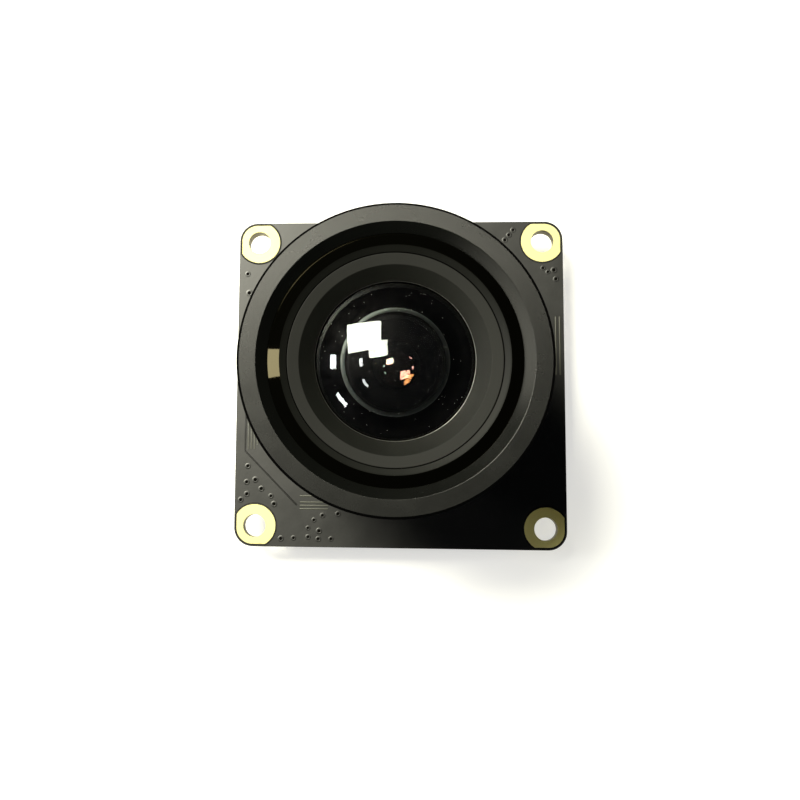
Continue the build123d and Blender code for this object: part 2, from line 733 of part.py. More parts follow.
def gull_leads(centres, body, leads):
    """Bent leads on both long sides of chip bodies on the back of the board."""
    middle = body[2] / 2
    bend = leads.reach - LEAD_FOOT
    outline = [
        (body[1] / 2, middle - LEAD_THICKNESS / 2),
        (body[1] / 2, middle + LEAD_THICKNESS / 2),
        (bend + LEAD_THICKNESS, middle + LEAD_THICKNESS / 2),
        (bend + LEAD_THICKNESS, LEAD_THICKNESS),
        (leads.reach, LEAD_THICKNESS),
        (leads.reach, 0),
        (bend, 0),
        (bend, middle - LEAD_THICKNESS / 2),
    ]
    with BuildPart() as bent_leads:
        for x, y in centres:
            for side in (-1, 1):
                for index in range(leads.per_side):
                    lead_x = x + side * (index - (leads.per_side - 1) / 2) * leads.pitch
                    lead_plane = Plane(
                        origin=(lead_x, y, BOARD_BACK), x_dir=(0, side, 0), z_dir=(side, 0, 0)
                    )
                    with BuildSketch(lead_plane):
                        with BuildLine():
                            Polyline(*[(reach, -drop) for reach, drop in outline], close=True)
                        make_face()
                    extrude(amount=leads.width / 2, both=True)
    return bent_leads.part


def make_chip_packages():
    """Memory chip and regulators, with their leads."""
    save(moulded_bodies((FLASH_CENTRE,), FLASH_BODY), "flash_memory")
    save(gull_leads((FLASH_CENTRE,), FLASH_BODY, FLASH_LEADS), "flash_leads")
    save(moulded_bodies(REGULATOR_CENTRES, REGULATOR_BODY), "voltage_regulators")
    save(gull_leads(REGULATOR_CENTRES, REGULATOR_BODY, REGULATOR_LEADS), "regulator_leads")


def make_clock_crystal():
    """Ceramic crystal base and, as its own solid, the metal lid seamed on it."""
    plane = back_plane(CRYSTAL_CENTRE)
    can_length = CRYSTAL_SIZE[0] - 2 * CRYSTAL_CAN_MARGIN
    can_width = CRYSTAL_SIZE[1] - 2 * CRYSTAL_CAN_MARGIN
    with BuildPart() as crystal_base:
        with BuildSketch(plane):
            RectangleRounded(*CRYSTAL_SIZE, CRYSTAL_CORNER)
        extrude(amount=CRYSTAL_BASE_HEIGHT)
    save(crystal_base.part, "crystal_base")
    with BuildPart() as crystal_lid:
        with BuildSketch(plane.offset(CRYSTAL_BASE_HEIGHT)):
            RectangleRounded(can_length, can_width, CRYSTAL_CORNER)
        extrude(amount=CRYSTAL_CAN_HEIGHT)
        chamfer(crystal_lid.faces().sort_by(Axis.Z)[0].edges(), CRYSTAL_CAN_CHAMFER)
    save(crystal_lid.part, "crystal_lid")


def make_power_inductor():
    """Square moulded power inductor, as tall as the sockets."""
    plane = back_plane(INDUCTOR_CENTRE)
    terminal_height = INDUCTOR_TERMINAL[2]
    with BuildPart() as power_inductor:
        with BuildSketch(plane.offset(terminal_height)):
            corners = Rectangle(INDUCTOR_SIDE, INDUCTOR_SIDE)
            chamfer(corners.vertices(), INDUCTOR_CHAMFER)
        extrude(amount=BACK_CLEARANCE - terminal_height)
        fillet(power_inductor.faces().sort_by(Axis.Z)[0].edges(), INDUCTOR_FILLET)
    save(power_inductor.part, "power_inductor")


def make_inductor_terminals():
    """Two solder plates under the inductor."""
    length, width, height = INDUCTOR_TERMINAL
    with BuildPart() as inductor_terminals:
        with BuildSketch(back_plane(INDUCTOR_CENTRE)):
            with GridLocations(INDUCTOR_SIDE - length, 0, 2, 1):
                Rectangle(length, width)
        extrude(amount=height)
    save(inductor_terminals.part, "inductor_terminals")


def make_tantalum_capacitors():
    """Moulded capacitor bodies with a bevelled marking edge."""
    length, width, height = TANTALUM_BODY
    with BuildPart() as tantalum_capacitors:
        for centre in TANTALUM_CENTRES:
            with BuildSketch(back_plane(centre)):
                Rectangle(length, width)
            extrude(amount=height)
    save(tantalum_capacitors.part, "tantalum_capacitors")


def make_tantalum_terminals():
    """Folded end plates of the moulded capacitors."""
    thickness, width, height = TANTALUM_TERMINAL
    with BuildPart() as tantalum_terminals:
        for centre in TANTALUM_CENTRES:
            with BuildSketch(back_plane(centre)):
                with GridLocations(TANTALUM_BODY[0] + thickness, 0, 2, 1):
                    Rectangle(thickness, width)
            extrude(amount=height)
    save(tantalum_terminals.part, "tantalum_terminals")


def chip_middles(planes, height):
    """Ceramic middles of small two-ended chips, one on each plane."""
    with BuildPart() as middles:
        for plane in planes:
            with BuildSketch(plane):
                Rectangle(CHIP_LENGTH - 2 * CHIP_END, CHIP_WIDTH)
            extrude(amount=height)
    return middles.part


def make_small_chips():
    """Small capacitors on both faces and small resistors on the back."""
    capacitor_planes = [front_plane(spot) for spot in FRONT_CAPACITOR_SPOTS]
    capacitor_planes += [back_plane(spot) for spot in BACK_CAPACITOR_SPOTS]
    resistor_planes = [back_plane(spot) for spot in BACK_RESISTOR_SPOTS]
    save(chip_middles(capacitor_planes, CAPACITOR_HEIGHT), "chip_capacitors")
    save(chip_middles(resistor_planes, RESISTOR_HEIGHT), "chip_resistors")
    with BuildPart() as chip_terminals:
        for plane in capacitor_planes + resistor_planes:
            height = CAPACITOR_HEIGHT if plane in capacitor_planes else RESISTOR_HEIGHT
            with BuildSketch(plane):
                with GridLocations(CHIP_LENGTH - CHIP_END, 0, 2, 1):
                    Rectangle(CHIP_END, CHIP_WIDTH)
            extrude(amount=height)
    save(chip_terminals.part, "chip_terminals")


def socket_plane(side):
    """Plane of a socket on the back: its Y points out through the board's edge.

    side is 1 for the right-hand edge and -1 for the left-hand one.
    """
    edge = side * (BOARD_SIDE / 2 - SOCKET_EDGE_GAP)
    return Plane(origin=(edge, SOCKET_ROW_Y, BOARD_BACK), x_dir=(0, side, 0), z_dir=(0, 0, -1))


def make_socket(name, pins, side):
    """Moulded side-entry cable socket with an open mouth and two key slots."""
    plane = socket_plane(side)
    width = SOCKET_PITCH * (pins - 1) + 2 * SOCKET_SIDE_ROOM
    cavity_depth = SOCKET_DEPTH - SOCKET_BACK_WALL
    with BuildPart() as socket:
        with BuildSketch(plane):
            with Locations((0, -SOCKET_DEPTH / 2)):
                Rectangle(width, SOCKET_DEPTH)
        extrude(amount=SOCKET_HEIGHT)
        with BuildSketch(plane.offset(SOCKET_WALL)):
            with Locations((0, -cavity_depth / 2)):
                Rectangle(width - 2 * SOCKET_WALL, cavity_depth)
        extrude(amount=SOCKET_HEIGHT - 2 * SOCKET_WALL, mode=Mode.SUBTRACT)
        with BuildSketch(plane.offset(SOCKET_HEIGHT - SOCKET_WALL)):
            with Locations((0, -cavity_depth / 4)):
                with GridLocations(width - 4 * SOCKET_WALL, 0, 2, 1):
                    Rectangle(SOCKET_KEY_WIDTH, cavity_depth / 2)
        extrude(amount=SOCKET_WALL, mode=Mode.SUBTRACT)
        with BuildSketch(plane.offset(PIN_HEIGHT)):
            with Locations((0, -SOCKET_DEPTH + SOCKET_BACK_WALL / 2)):
                with GridLocations(SOCKET_PITCH, 0, pins, 1):
                    Rectangle(PIN_SIDE, SOCKET_BACK_WALL)
        extrude(amount=PIN_SIDE, mode=Mode.SUBTRACT)
    save(socket.part, name)


def make_socket_pins(name, pins, side):
    """Bent contact pins of a socket and the two solder tabs at its ends."""
    plane = socket_plane(side)
    width = SOCKET_PITCH * (pins - 1) + 2 * SOCKET_SIDE_ROOM
    inner_length = SOCKET_DEPTH - PIN_TIP_SETBACK + PIN_SIDE
    tab_width, tab_length, tab_height = TAB_SIZE
    with BuildPart() as socket_pins:
        with BuildSketch(plane.offset(PIN_HEIGHT)):
            with Locations((0, -PIN_TIP_SETBACK - inner_length / 2)):
                with GridLocations(SOCKET_PITCH, 0, pins, 1):
                    Rectangle(PIN_SIDE, inner_length)
        extrude(amount=PIN_SIDE)
        with BuildSketch(plane):
            with Locations((0, -SOCKET_DEPTH - PIN_SIDE / 2)):
                with GridLocations(SOCKET_PITCH, 0, pins, 1):
                    Rectangle(PIN_SIDE, PIN_SIDE)
        extrude(amount=PIN_HEIGHT + PIN_SIDE)
        with BuildSketch(plane):
            with Locations((0, -SOCKET_DEPTH - PIN_TAIL / 2)):
                with GridLocations(SOCKET_PITCH, 0, pins, 1):
                    Rectangle(PIN_SIDE, PIN_TAIL)
        extrude(amount=LEAD_THICKNESS)
        with BuildSketch(plane):
            with Locations((0, -SOCKET_DEPTH / 2)):
                with GridLocations(width + tab_width, 0, 2, 1):
                    Rectangle(tab_width, tab_length)
        extrude(amount=tab_height)
    save(socket_pins.part, name)


def main():
    """Build every piece of the camera module."""
    os.makedirs("parts", exist_ok=True)
    make_circuit_board()
    make_mounting_pads()
    make_image_sensor()
    make_sensor_die()
    make_sensor_glass()
    make_infrared_filter()
    make_lens_holder()
    make_holder_screws()
    make_lock_ring()
    make_lens_barrel()
    make_front_hood()
    make_retaining_ring()
    for lens in LENSES:
        make_lens(lens)
    make_spacer_ring()
    make_aperture_stop()
    make_rear_retainer()
    make_image_processor()
    make_processor_leads()
    make_chip_packages()
    make_clock_crystal()
    make_power_inductor()
    make_inductor_terminals()
    make_tantalum_capacitors()
    make_tantalum_terminals()
    make_small_chips()
    make_socket("cable_socket", CABLE_SOCKET_PINS, 1)
    make_socket_pins("cable_socket_pins", CABLE_SOCKET_PINS, 1)
    make_socket("audio_socket", AUDIO_SOCKET_PINS, -1)
    make_socket_pins("audio_socket_pins", AUDIO_SOCKET_PINS, -1)


main()
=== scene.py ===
"""Dress the board camera module: finishes, fine detail, studio light and camera.

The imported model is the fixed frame: +Z points out of the lens, the lens axis is the Z axis
and Z = 0 is the plane on which the parts of the board's back rest. Sizes are millimetres,
and heights called h are measured up from the board's front face. Both become metres where
a mesh is made.
"""
import json
import logging
import math
from dataclasses import dataclass
from dataclasses import field
from enum import Enum

import bmesh
import bpy
from bpy.types import Material
from bpy.types import Mesh
from bpy.types import Node
from bpy.types import NodeSocket
from bpy.types import NodeTree
from bpy.types import Object
from mathutils import Matrix
from mathutils import Vector

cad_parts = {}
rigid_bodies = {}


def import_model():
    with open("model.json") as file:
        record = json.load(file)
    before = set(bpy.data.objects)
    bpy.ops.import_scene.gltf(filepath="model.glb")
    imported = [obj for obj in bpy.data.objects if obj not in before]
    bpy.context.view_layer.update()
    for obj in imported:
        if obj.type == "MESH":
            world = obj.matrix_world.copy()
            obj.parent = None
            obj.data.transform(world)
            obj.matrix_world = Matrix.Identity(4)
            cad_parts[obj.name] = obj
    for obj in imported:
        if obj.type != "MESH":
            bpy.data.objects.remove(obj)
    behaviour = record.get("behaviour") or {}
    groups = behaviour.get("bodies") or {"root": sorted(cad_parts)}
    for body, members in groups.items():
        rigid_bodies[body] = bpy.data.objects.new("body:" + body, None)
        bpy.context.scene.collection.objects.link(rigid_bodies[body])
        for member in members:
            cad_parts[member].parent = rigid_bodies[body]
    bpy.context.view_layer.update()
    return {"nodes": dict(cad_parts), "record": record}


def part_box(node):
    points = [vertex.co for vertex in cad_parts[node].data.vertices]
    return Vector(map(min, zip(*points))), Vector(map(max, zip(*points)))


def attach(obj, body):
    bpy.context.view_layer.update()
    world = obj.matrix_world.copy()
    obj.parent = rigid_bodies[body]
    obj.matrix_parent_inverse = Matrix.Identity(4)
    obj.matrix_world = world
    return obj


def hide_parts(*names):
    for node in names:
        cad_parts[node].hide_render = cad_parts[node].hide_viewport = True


LOG = logging.getLogger("camera_module")
MM = 0.001
MERGE_DISTANCE = 1e-7
SMOOTH_ANGLE = math.radians(28)
PLATE_ANGLE = math.radians(8)
SUPPORT = 0.025
Outline = list[tuple[float, float, int]]


def linear(colour: str) -> tuple[float, float, float, float]:
    """Turn an sRGB hex colour into the linear values that shaders work in.

    Args:
        colour: Six hex digits after a hash.

    Returns:
        Linear red, green, blue and an alpha of one.
    """
    shares = [int(colour[start : start + 2], 16) / 255 for start in (1, 3, 5)]
    values = [s / 12.92 if s <= 0.04045 else ((s + 0.055) / 1.055) ** 2.4 for s in shares]
    return (values[0], values[1], values[2], 1.0)


def add_node(
    tree: NodeTree,
    kind: str,
    inputs: dict[str | int, object] | None = None,
    **settings: object,
) -> Node:
    """Add a node with its settings, values and links.

    Args:
        tree: The shader or geometry tree that gets the node.
        kind: Blender's name for the node type.
        inputs: Input sockets by name or number, each with a value or the socket it is fed from.
        settings: Properties of the node itself.

    Returns:
        The new node.
    """
    made = tree.nodes.new(kind)
    for name, value in settings.items():
        setattr(made, name, value)
    for key, value in (inputs or {}).items():
        if isinstance(value, NodeSocket):
            tree.links.new(value, made.inputs[key])
        else:
            made.inputs[key].default_value = value
    return made


@dataclass(frozen=True)
class Datum:
    """Heights of the board's two faces in the frame, in millimetres."""

    back: float
    front: float

    @classmethod
    def from_frame(cls) -> "Datum":
        """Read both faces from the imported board."""
        low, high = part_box("circuit_board")
        return cls(back=low.z / MM, front=high.z / MM)

    def point(self, x: float, y: float, h: float) -> Vector:
        """Place in metres of a point at a height above the board's front face."""
        return Vector((x, y, self.front + h)) * MM


@dataclass(frozen=True)
class Skin:
    """A named material that is made once."""

    name: str

    def surface(self, tree: NodeTree) -> NodeSocket:
        """Build the shader.

        Args:
            tree: The material's tree.

        Returns:
            The shader's output.
        """
        raise NotImplementedError

    def build(self) -> Material:
        """Make the material, or return it if it is already made.

        Returns:
            The material.
        """
        if self.name in bpy.data.materials:
            return bpy.data.materials[self.name]
        material = bpy.data.materials.new(self.name)
        material.use_nodes = True
        tree = material.node_tree
        tree.nodes.clear()
        add_node(tree, "ShaderNodeOutputMaterial", {"Surface": self.surface(tree)})
        return material


class Relief(Enum):
    """How a surface was made, which decides the pattern of its fine relief."""

    TURNED = "tool marks round the lens axis"
    GRAINY = "even grain of a blasted, moulded or sintered face"
    STREAKED = "fine lines along X of rolled or ground sheet"


@dataclass(frozen=True)
class Finish(Skin):
    """An opaque surface, drawn from Object coordinates.

    The colour and the gloss wander in patches of wander_mm, and a relief of the given kind,
    spacing and depth breaks up the highlights.
    """

    colour: str
    roughness: float
    relief: Relief = Relief.GRAINY
    pitch_mm: float = 0.12
    depth_mm: float = 0.002
    metallic: float = 0.0
    ior: float = 1.5
    shade: float = 0.15
    spread: float = 0.05
    wander_mm: float = 3.0
    coat: float = 0.0
    coat_roughness: float = 0.1
    sheen_tint: str = "#ffffff"

    def relief_height(self, tree: NodeTree, place: NodeSocket) -> NodeSocket:
        """Build the height pattern of the relief.

        Args:
            tree: The material's tree.
            place: Object coordinates, in metres.

        Returns:
            The socket that gives the height, from zero to one.
        """
        scale = 1 / (self.pitch_mm * MM)
        if self.relief is Relief.TURNED:
            flat = add_node(tree, "ShaderNodeVectorMath", {0: place, 1: (1, 1, 0)}, operation="MULTIPLY")
            radius = add_node(tree, "ShaderNodeVectorMath", {0: flat.outputs[0]}, operation="LENGTH")
            height = add_node(tree, "ShaderNodeSeparateXYZ", {0: place})
            along = add_node(
                tree,
                "ShaderNodeMath",
                {0: radius.outputs["Value"], 1: height.outputs["Z"]},
                operation="ADD",
            )
            noise = add_node(
                tree,
                "ShaderNodeTexNoise",
                {"W": along.outputs[0], "Scale": scale, "Detail": 3.0, "Roughness": 0.6},
                noise_dimensions="1D",
            )
            return noise.outputs["Fac"]
        stretch = (1.0, 1.0, 1.0)
        if self.relief is Relief.STREAKED:
            stretch = (0.04, 1.0, 1.0)
        mapped = add_node(tree, "ShaderNodeMapping", {"Vector": place, "Scale": stretch})
        noise = add_node(
            tree,
            "ShaderNodeTexNoise",
            {"Vector": mapped.outputs[0], "Scale": scale, "Detail": 2.0, "Roughness": 0.55},
        )
        return noise.outputs["Fac"]

    def surface(self, tree: NodeTree) -> NodeSocket:
        """Build the shader, as Skin says.

        Args:
            tree: The material's tree.

        Returns:
            The shader's output.
        """
        place = add_node(tree, "ShaderNodeTexCoord").outputs["Object"]
        wander = add_node(
            tree,
            "ShaderNodeTexNoise",
            {"Vector": place, "Scale": 1 / (self.wander_mm * MM), "Detail": 4.0, "Roughness": 0.55},
        )
        base = Vector(linear(self.colour)[:3])
        tones = add_node(
            tree,
            "ShaderNodeMix",
            {
                0: wander.outputs["Fac"],
                6: (*(base * (1 - self.shade)), 1.0),
                7: (*(base * (1 + self.shade)), 1.0),
            },
            data_type="RGBA",
        )
        gloss = add_node(
            tree,
            "ShaderNodeMapRange",
            {
                "Value": wander.outputs["Fac"],
                "To Min": max(self.roughness - self.spread, 0.02),
                "To Max": min(self.roughness + self.spread, 1.0),
            },
        )
        bump = add_node(
            tree,
            "ShaderNodeBump",
            {"Height": self.relief_height(tree, place), "Distance": self.depth_mm * MM, "Strength": 1.0},
        )
        values: dict[str | int, object] = {
            "Base Color": tones.outputs[2],
            "Metallic": self.metallic,
            "Roughness": gloss.outputs[0],
            "Normal": bump.outputs[0],
            "Coat Weight": self.coat,
            "Coat Roughness": self.coat_roughness,
            "Specular Tint": linear(self.sheen_tint),
        }
        if self.metallic < 0.5:
            values["IOR"] = self.ior
        return add_node(tree, "ShaderNodeBsdfPrincipled", values).outputs[0]


@dataclass(frozen=True)
class Glass(Skin):
    """Polished optical glass whose reflections take the tint of its coating.

    The film is the share of the light that a greasy film spreads round a reflection, in
    smears of smear_mm.
    """

    body: str
    coating: str
    ior: float
    film: float = 0.0
    smear_mm: float = 1.6

    def film_weight(self, tree: NodeTree) -> NodeSocket:
        """Build the pattern of the greasy film.

        Args:
            tree: The material's tree.

        Returns:
            The socket that gives the film's weight.
        """
        place = add_node(tree, "ShaderNodeTexCoord").outputs["Object"]
        scale = 1 / (self.smear_mm * MM)
        smear = add_node(
            tree,
            "ShaderNodeTexNoise",
            {"Vector": place, "Scale": scale, "Detail": 5.0, "Roughness": 0.7, "Distortion": 0.8},
        )
        veil = add_node(
            tree,
            "ShaderNodeMapRange",
            {"Value": smear.outputs["Fac"], "From Min": 0.35, "From Max": 0.7, "To Max": self.film},
        )
        return veil.outputs[0]

    def surface(self, tree: NodeTree) -> NodeSocket:
        """Build the shader, as Skin says.

        Args:
            tree: The material's tree.

        Returns:
            The shader's output.
        """
        values: dict[str | int, object] = {
            "Base Color": linear(self.body),
            "Coat Roughness": 0.35,
            "Roughness": 0.0,
            "IOR": self.ior,
            "Specular Tint": linear(self.coating),
            "Transmission Weight": 1.0,
        }
        if self.film:
            values["Coat Weight"] = self.film_weight(tree)
        return add_node(tree, "ShaderNodeBsdfPrincipled", values).outputs[0]


# Black anodised aluminium, turned and lightly blasted: a deep black that glows grey towards
# the window, with tool marks just too fine to count.
HOOD_ANODISED = Finish(
    "aluminium_turned_black_anodised",
    "#080907",
    0.27,
    relief=Relief.TURNED,
    pitch_mm=0.09,
    depth_mm=0.0006,
    ior=1.5,
    shade=0.2,
    spread=0.04,
)
# The same anodising over a coarser, duller cut, on the barrel and the ring that holds the glass.
RING_ANODISED = Finish(
    "aluminium_fine_turned_black_anodised",
    "#131411",
    0.5,
    relief=Relief.TURNED,
    pitch_mm=0.14,
    depth_mm=0.002,
    ior=1.3,
    shade=0.25,
    spread=0.07,
)
# The hole of a via that the mask left open, drawn as a shallow pit: a small black point of painted shade.
VIA_HOLE_SHADE = Finish("via_hole_painted_shade", "#070604", 0.8, ior=1.12)
# Black paint burnished on the shoulder of the barrel: a sharp reflection in deep black.
SHOULDER_BLACK = Finish(
    "aluminium_burnished_black_lacquer",
    "#030302",
    0.03,
    relief=Relief.TURNED,
    pitch_mm=0.8,
    depth_mm=0.0001,
    ior=1.3,
    shade=0.1,
    spread=0.01,
    sheen_tint="#cebf89",
)
# Bare metal on the lip of the ring: a hair-thin bright line, partly blacking worn off and partly a painted
# highlight on the lip's edge.
WORN_EDGE_AND_HIGHLIGHT = Finish("aluminium_edge_worn_bare_painted_highlight", "#787974", 0.5, metallic=1.0, pitch_mm=0.05, depth_mm=0.002)
# Black paint inside the lens tube, dull so that no stray light comes back.
INNER_BLACK = Finish(
    "aluminium_turned_dull_black_paint", "#020202", 0.85, relief=Relief.TURNED, ior=1.15, shade=0.3
)
# The black ink on the ground edges of the glass: black with no gloss. The same black on the hood's broken
# edge is painted shade.
INK_AND_EDGE_SHADE = Finish("black_edge_ink_and_painted_edge_shade", "#020202", 0.7, pitch_mm=0.08, ior=1.05, shade=0.3)
# The ground bevel of a lens, left bare: a thin grey ring that scatters light.
GROUND_BEVEL = Finish("glass_ground_bevel_bare", "#3e4240", 0.36, metallic=1.0, pitch_mm=0.05, depth_mm=0.002)
# Mask stretched thin over a copper line: a paler, glossier streak in the black, whose paleness is partly a
# painted highlight.
MASKED_COPPER_AND_SHEEN = Finish("solder_mask_over_copper_painted_sheen", "#4a4b42", 0.36, pitch_mm=0.2, depth_mm=0.001, ior=1.7)
# Epoxy solder mask, printed over copper and cured: smooth and black with a soft gloss.
SOLDER_MASK = Finish(
    "epoxy_solder_mask_black_cured",
    "#070806",
    0.38,
    ior=1.7,
    pitch_mm=0.35,
    depth_mm=0.0022,
    shade=0.18,
    spread=0.06,
    wander_mm=2.2,
)
# The cut edge of the glass-fibre board, brown and dull, with its plies as fine lines.
BARE_LAMINATE = Finish(
    "glass_fibre_laminate_routed",
    "#5b4c22",
    0.7,
    relief=Relief.STREAKED,
    pitch_mm=0.08,
    depth_mm=0.006,
    shade=0.35,
)
# The cleared line round a pad: bare laminate in the shade of the mask, a thin dark line.
CLEARED_LINE = Finish("glass_fibre_laminate_cleared_line", "#0b0906", 0.7, pitch_mm=0.05)
# Immersion gold over copper: pale yellow metal with a satin gloss.
GOLD_PLATING = Finish(
    "copper_immersion_gold_plated",
    "#e4dea2",
    0.6,
    metallic=1.0,
    pitch_mm=0.1,
    depth_mm=0.0016,
    shade=0.06,
    spread=0.08,
    wander_mm=0.8,
)
# The plated wall of a corner hole, darkened to a dull olive brass: painted shade inside the hole.
HOLE_WALL_SHADE = Finish(
    "copper_gold_plated_painted_shade", "#6e6645", 0.5, metallic=1.0, pitch_mm=0.08, depth_mm=0.004
)

FINISHES = {
    "black_anodised": HOOD_ANODISED,
    # Glass-filled nylon from a spark-eroded mould: dull black with an even grain.
    "holder_plastic": Finish(
        "nylon_glass_filled_moulded_black", "#1a1a19", 0.55, pitch_mm=0.15, depth_mm=0.006
    ),
    # Zinc-plated steel, slightly blue and streaked by the die of the screw head.
    "screw_steel": Finish(
        "steel_cold_headed_zinc_plated",
        "#a8adb0",
        0.32,
        relief=Relief.STREAKED,
        pitch_mm=0.06,
        depth_mm=0.002,
        metallic=1.0,
    ),
    # Alumina package of the sensor: dull, nearly black, like fine stoneware.
    "sensor_ceramic": Finish("alumina_sintered_dark", "#2a2622", 0.6, pitch_mm=0.1, depth_mm=0.003),
    # Polished silicon with its colour filters: a dark mirror with a violet cast.
    "silicon": Finish("silicon_polished_die", "#3b3550", 0.12, metallic=0.8, pitch_mm=0.2, depth_mm=0.0003),
    # Epoxy moulding compound: charcoal with a fine blasted grain.
    "chip_plastic": Finish("epoxy_moulded_charcoal", "#1d1d1c", 0.5, pitch_mm=0.07, depth_mm=0.004),
    # Tinned copper: bright grey solder with soft highlights.
    "tinned_lead": Finish(
        "copper_tinned_reflowed", "#c4c6c4", 0.28, metallic=1.0, pitch_mm=0.2, depth_mm=0.006
    ),
    # Alumina base of the crystal.
    "crystal_ceramic": Finish("alumina_sintered_pale", "#8f8a80", 0.55, pitch_mm=0.08, depth_mm=0.003),
    # Stamped lid with a satin nickel plate.
    "nickel_lid": Finish(
        "nickel_silver_stamped_lid",
        "#b9b6ac",
        0.3,
        relief=Relief.STREAKED,
        pitch_mm=0.05,
        depth_mm=0.0015,
        metallic=1.0,
    ),
    # Pressed iron powder: dark grey with a sandy grain.
    "ferrite": Finish("iron_powder_pressed_grey", "#34342f", 0.62, pitch_mm=0.1, depth_mm=0.008, shade=0.3),
    # Moulded tantalum capacitor: ochre epoxy.
    "tantalum_case": Finish("epoxy_moulded_ochre", "#b98a3a", 0.45, pitch_mm=0.08, depth_mm=0.004),
    # Barium titanate: fired tan ceramic.
    "capacitor_ceramic": Finish("barium_titanate_fired_tan", "#8a6a48", 0.5, pitch_mm=0.06, depth_mm=0.003),
    # Overglaze of a thick-film resistor: glossy black glass.
    "resistor_ceramic": Finish("thick_film_resistor_glazed", "#121316", 0.25, pitch_mm=0.09),
    # Nylon of the cable sockets: warm natural white, slightly waxy.
    "socket_nylon": Finish(
        "nylon_moulded_natural", "#e6dfcc", 0.42, pitch_mm=0.2, depth_mm=0.005, shade=0.05, coat=0.15
    ),
}
GLASSES = {
    # Front lens: crown glass with a faint green coating and a thin greasy film.
    "front_lens": Glass("crown_glass_polished_dusty", "#ffffff", "#f6fcfa", 1.52, film=0.1),
    # Second lens: crown glass whose coating reflects pale green.
    "second_lens": Glass("crown_glass_polished_green_coat", "#ffffff", "#b8e0c8", 1.6),
    # Third lens: lanthanum glass, nearly clear, with a rose reflection.
    "third_lens": Glass("lanthanum_glass_polished_rose_coat", "#fff6f0", "#ffc0b0", 1.7),
    # Flint glass, slightly warm, with an amber reflection.
    "flint_lens": Glass("flint_glass_polished_amber_coat", "#fff4e6", "#d89a60", 1.74),
    # Rear lens: crown glass with a red reflection.
    "crown_lens": Glass("crown_glass_polished_rose_coat", "#fff0ea", "#e06a5a", 1.6),
    # Blue-green filter glass that turns infrared back: its reflection is red.
    "infrared_filter": Glass("infrared_filter_glass_polished", "#9fd8c8", "#ff6a50", 1.52),
    # Cover of the sensor: clear glass with a faint blue reflection.
    "sensor_glass": Glass("cover_glass_polished", "#f4fff8", "#c8d8ff", 1.52),
}
# Lint and dust on the glass: pale specks with no gloss.
DUST = Finish("dust_lint_pale", "#8f918c", 0.9, pitch_mm=0.03, depth_mm=0.002)


def add_object(name: str, mesh: Mesh) -> Object:
    """Put a mesh into the scene as an object at the origin.

    Args:
        name: The object's name.
        mesh: Its mesh.

    Returns:
        The object.
    """
    made = bpy.data.objects.new(name, mesh)
    bpy.context.scene.collection.objects.link(made)
    return made


def shade(mesh: Mesh, sharp: float = SMOOTH_ANGLE) -> None:
    """Shade a mesh smooth, but for edges sharper than an angle."""
    mesh.polygons.foreach_set("use_smooth", [True] * len(mesh.polygons))
    mesh.set_sharp_from_angle(angle=sharp)


def close_up(mesh: Mesh) -> None:
    """Merge the doubles of a mesh and turn its faces outwards.

    Args:
        mesh: The mesh, which is changed.
    """
    shell = bmesh.new()
    shell.from_mesh(mesh)
    bmesh.ops.remove_doubles(shell, verts=shell.verts[:], dist=MERGE_DISTANCE)
    bmesh.ops.dissolve_degenerate(shell, edges=shell.edges[:], dist=MERGE_DISTANCE)
    bmesh.ops.recalc_face_normals(shell, faces=shell.faces[:])
    shell.to_mesh(mesh)
    shell.free()
    shade(mesh)


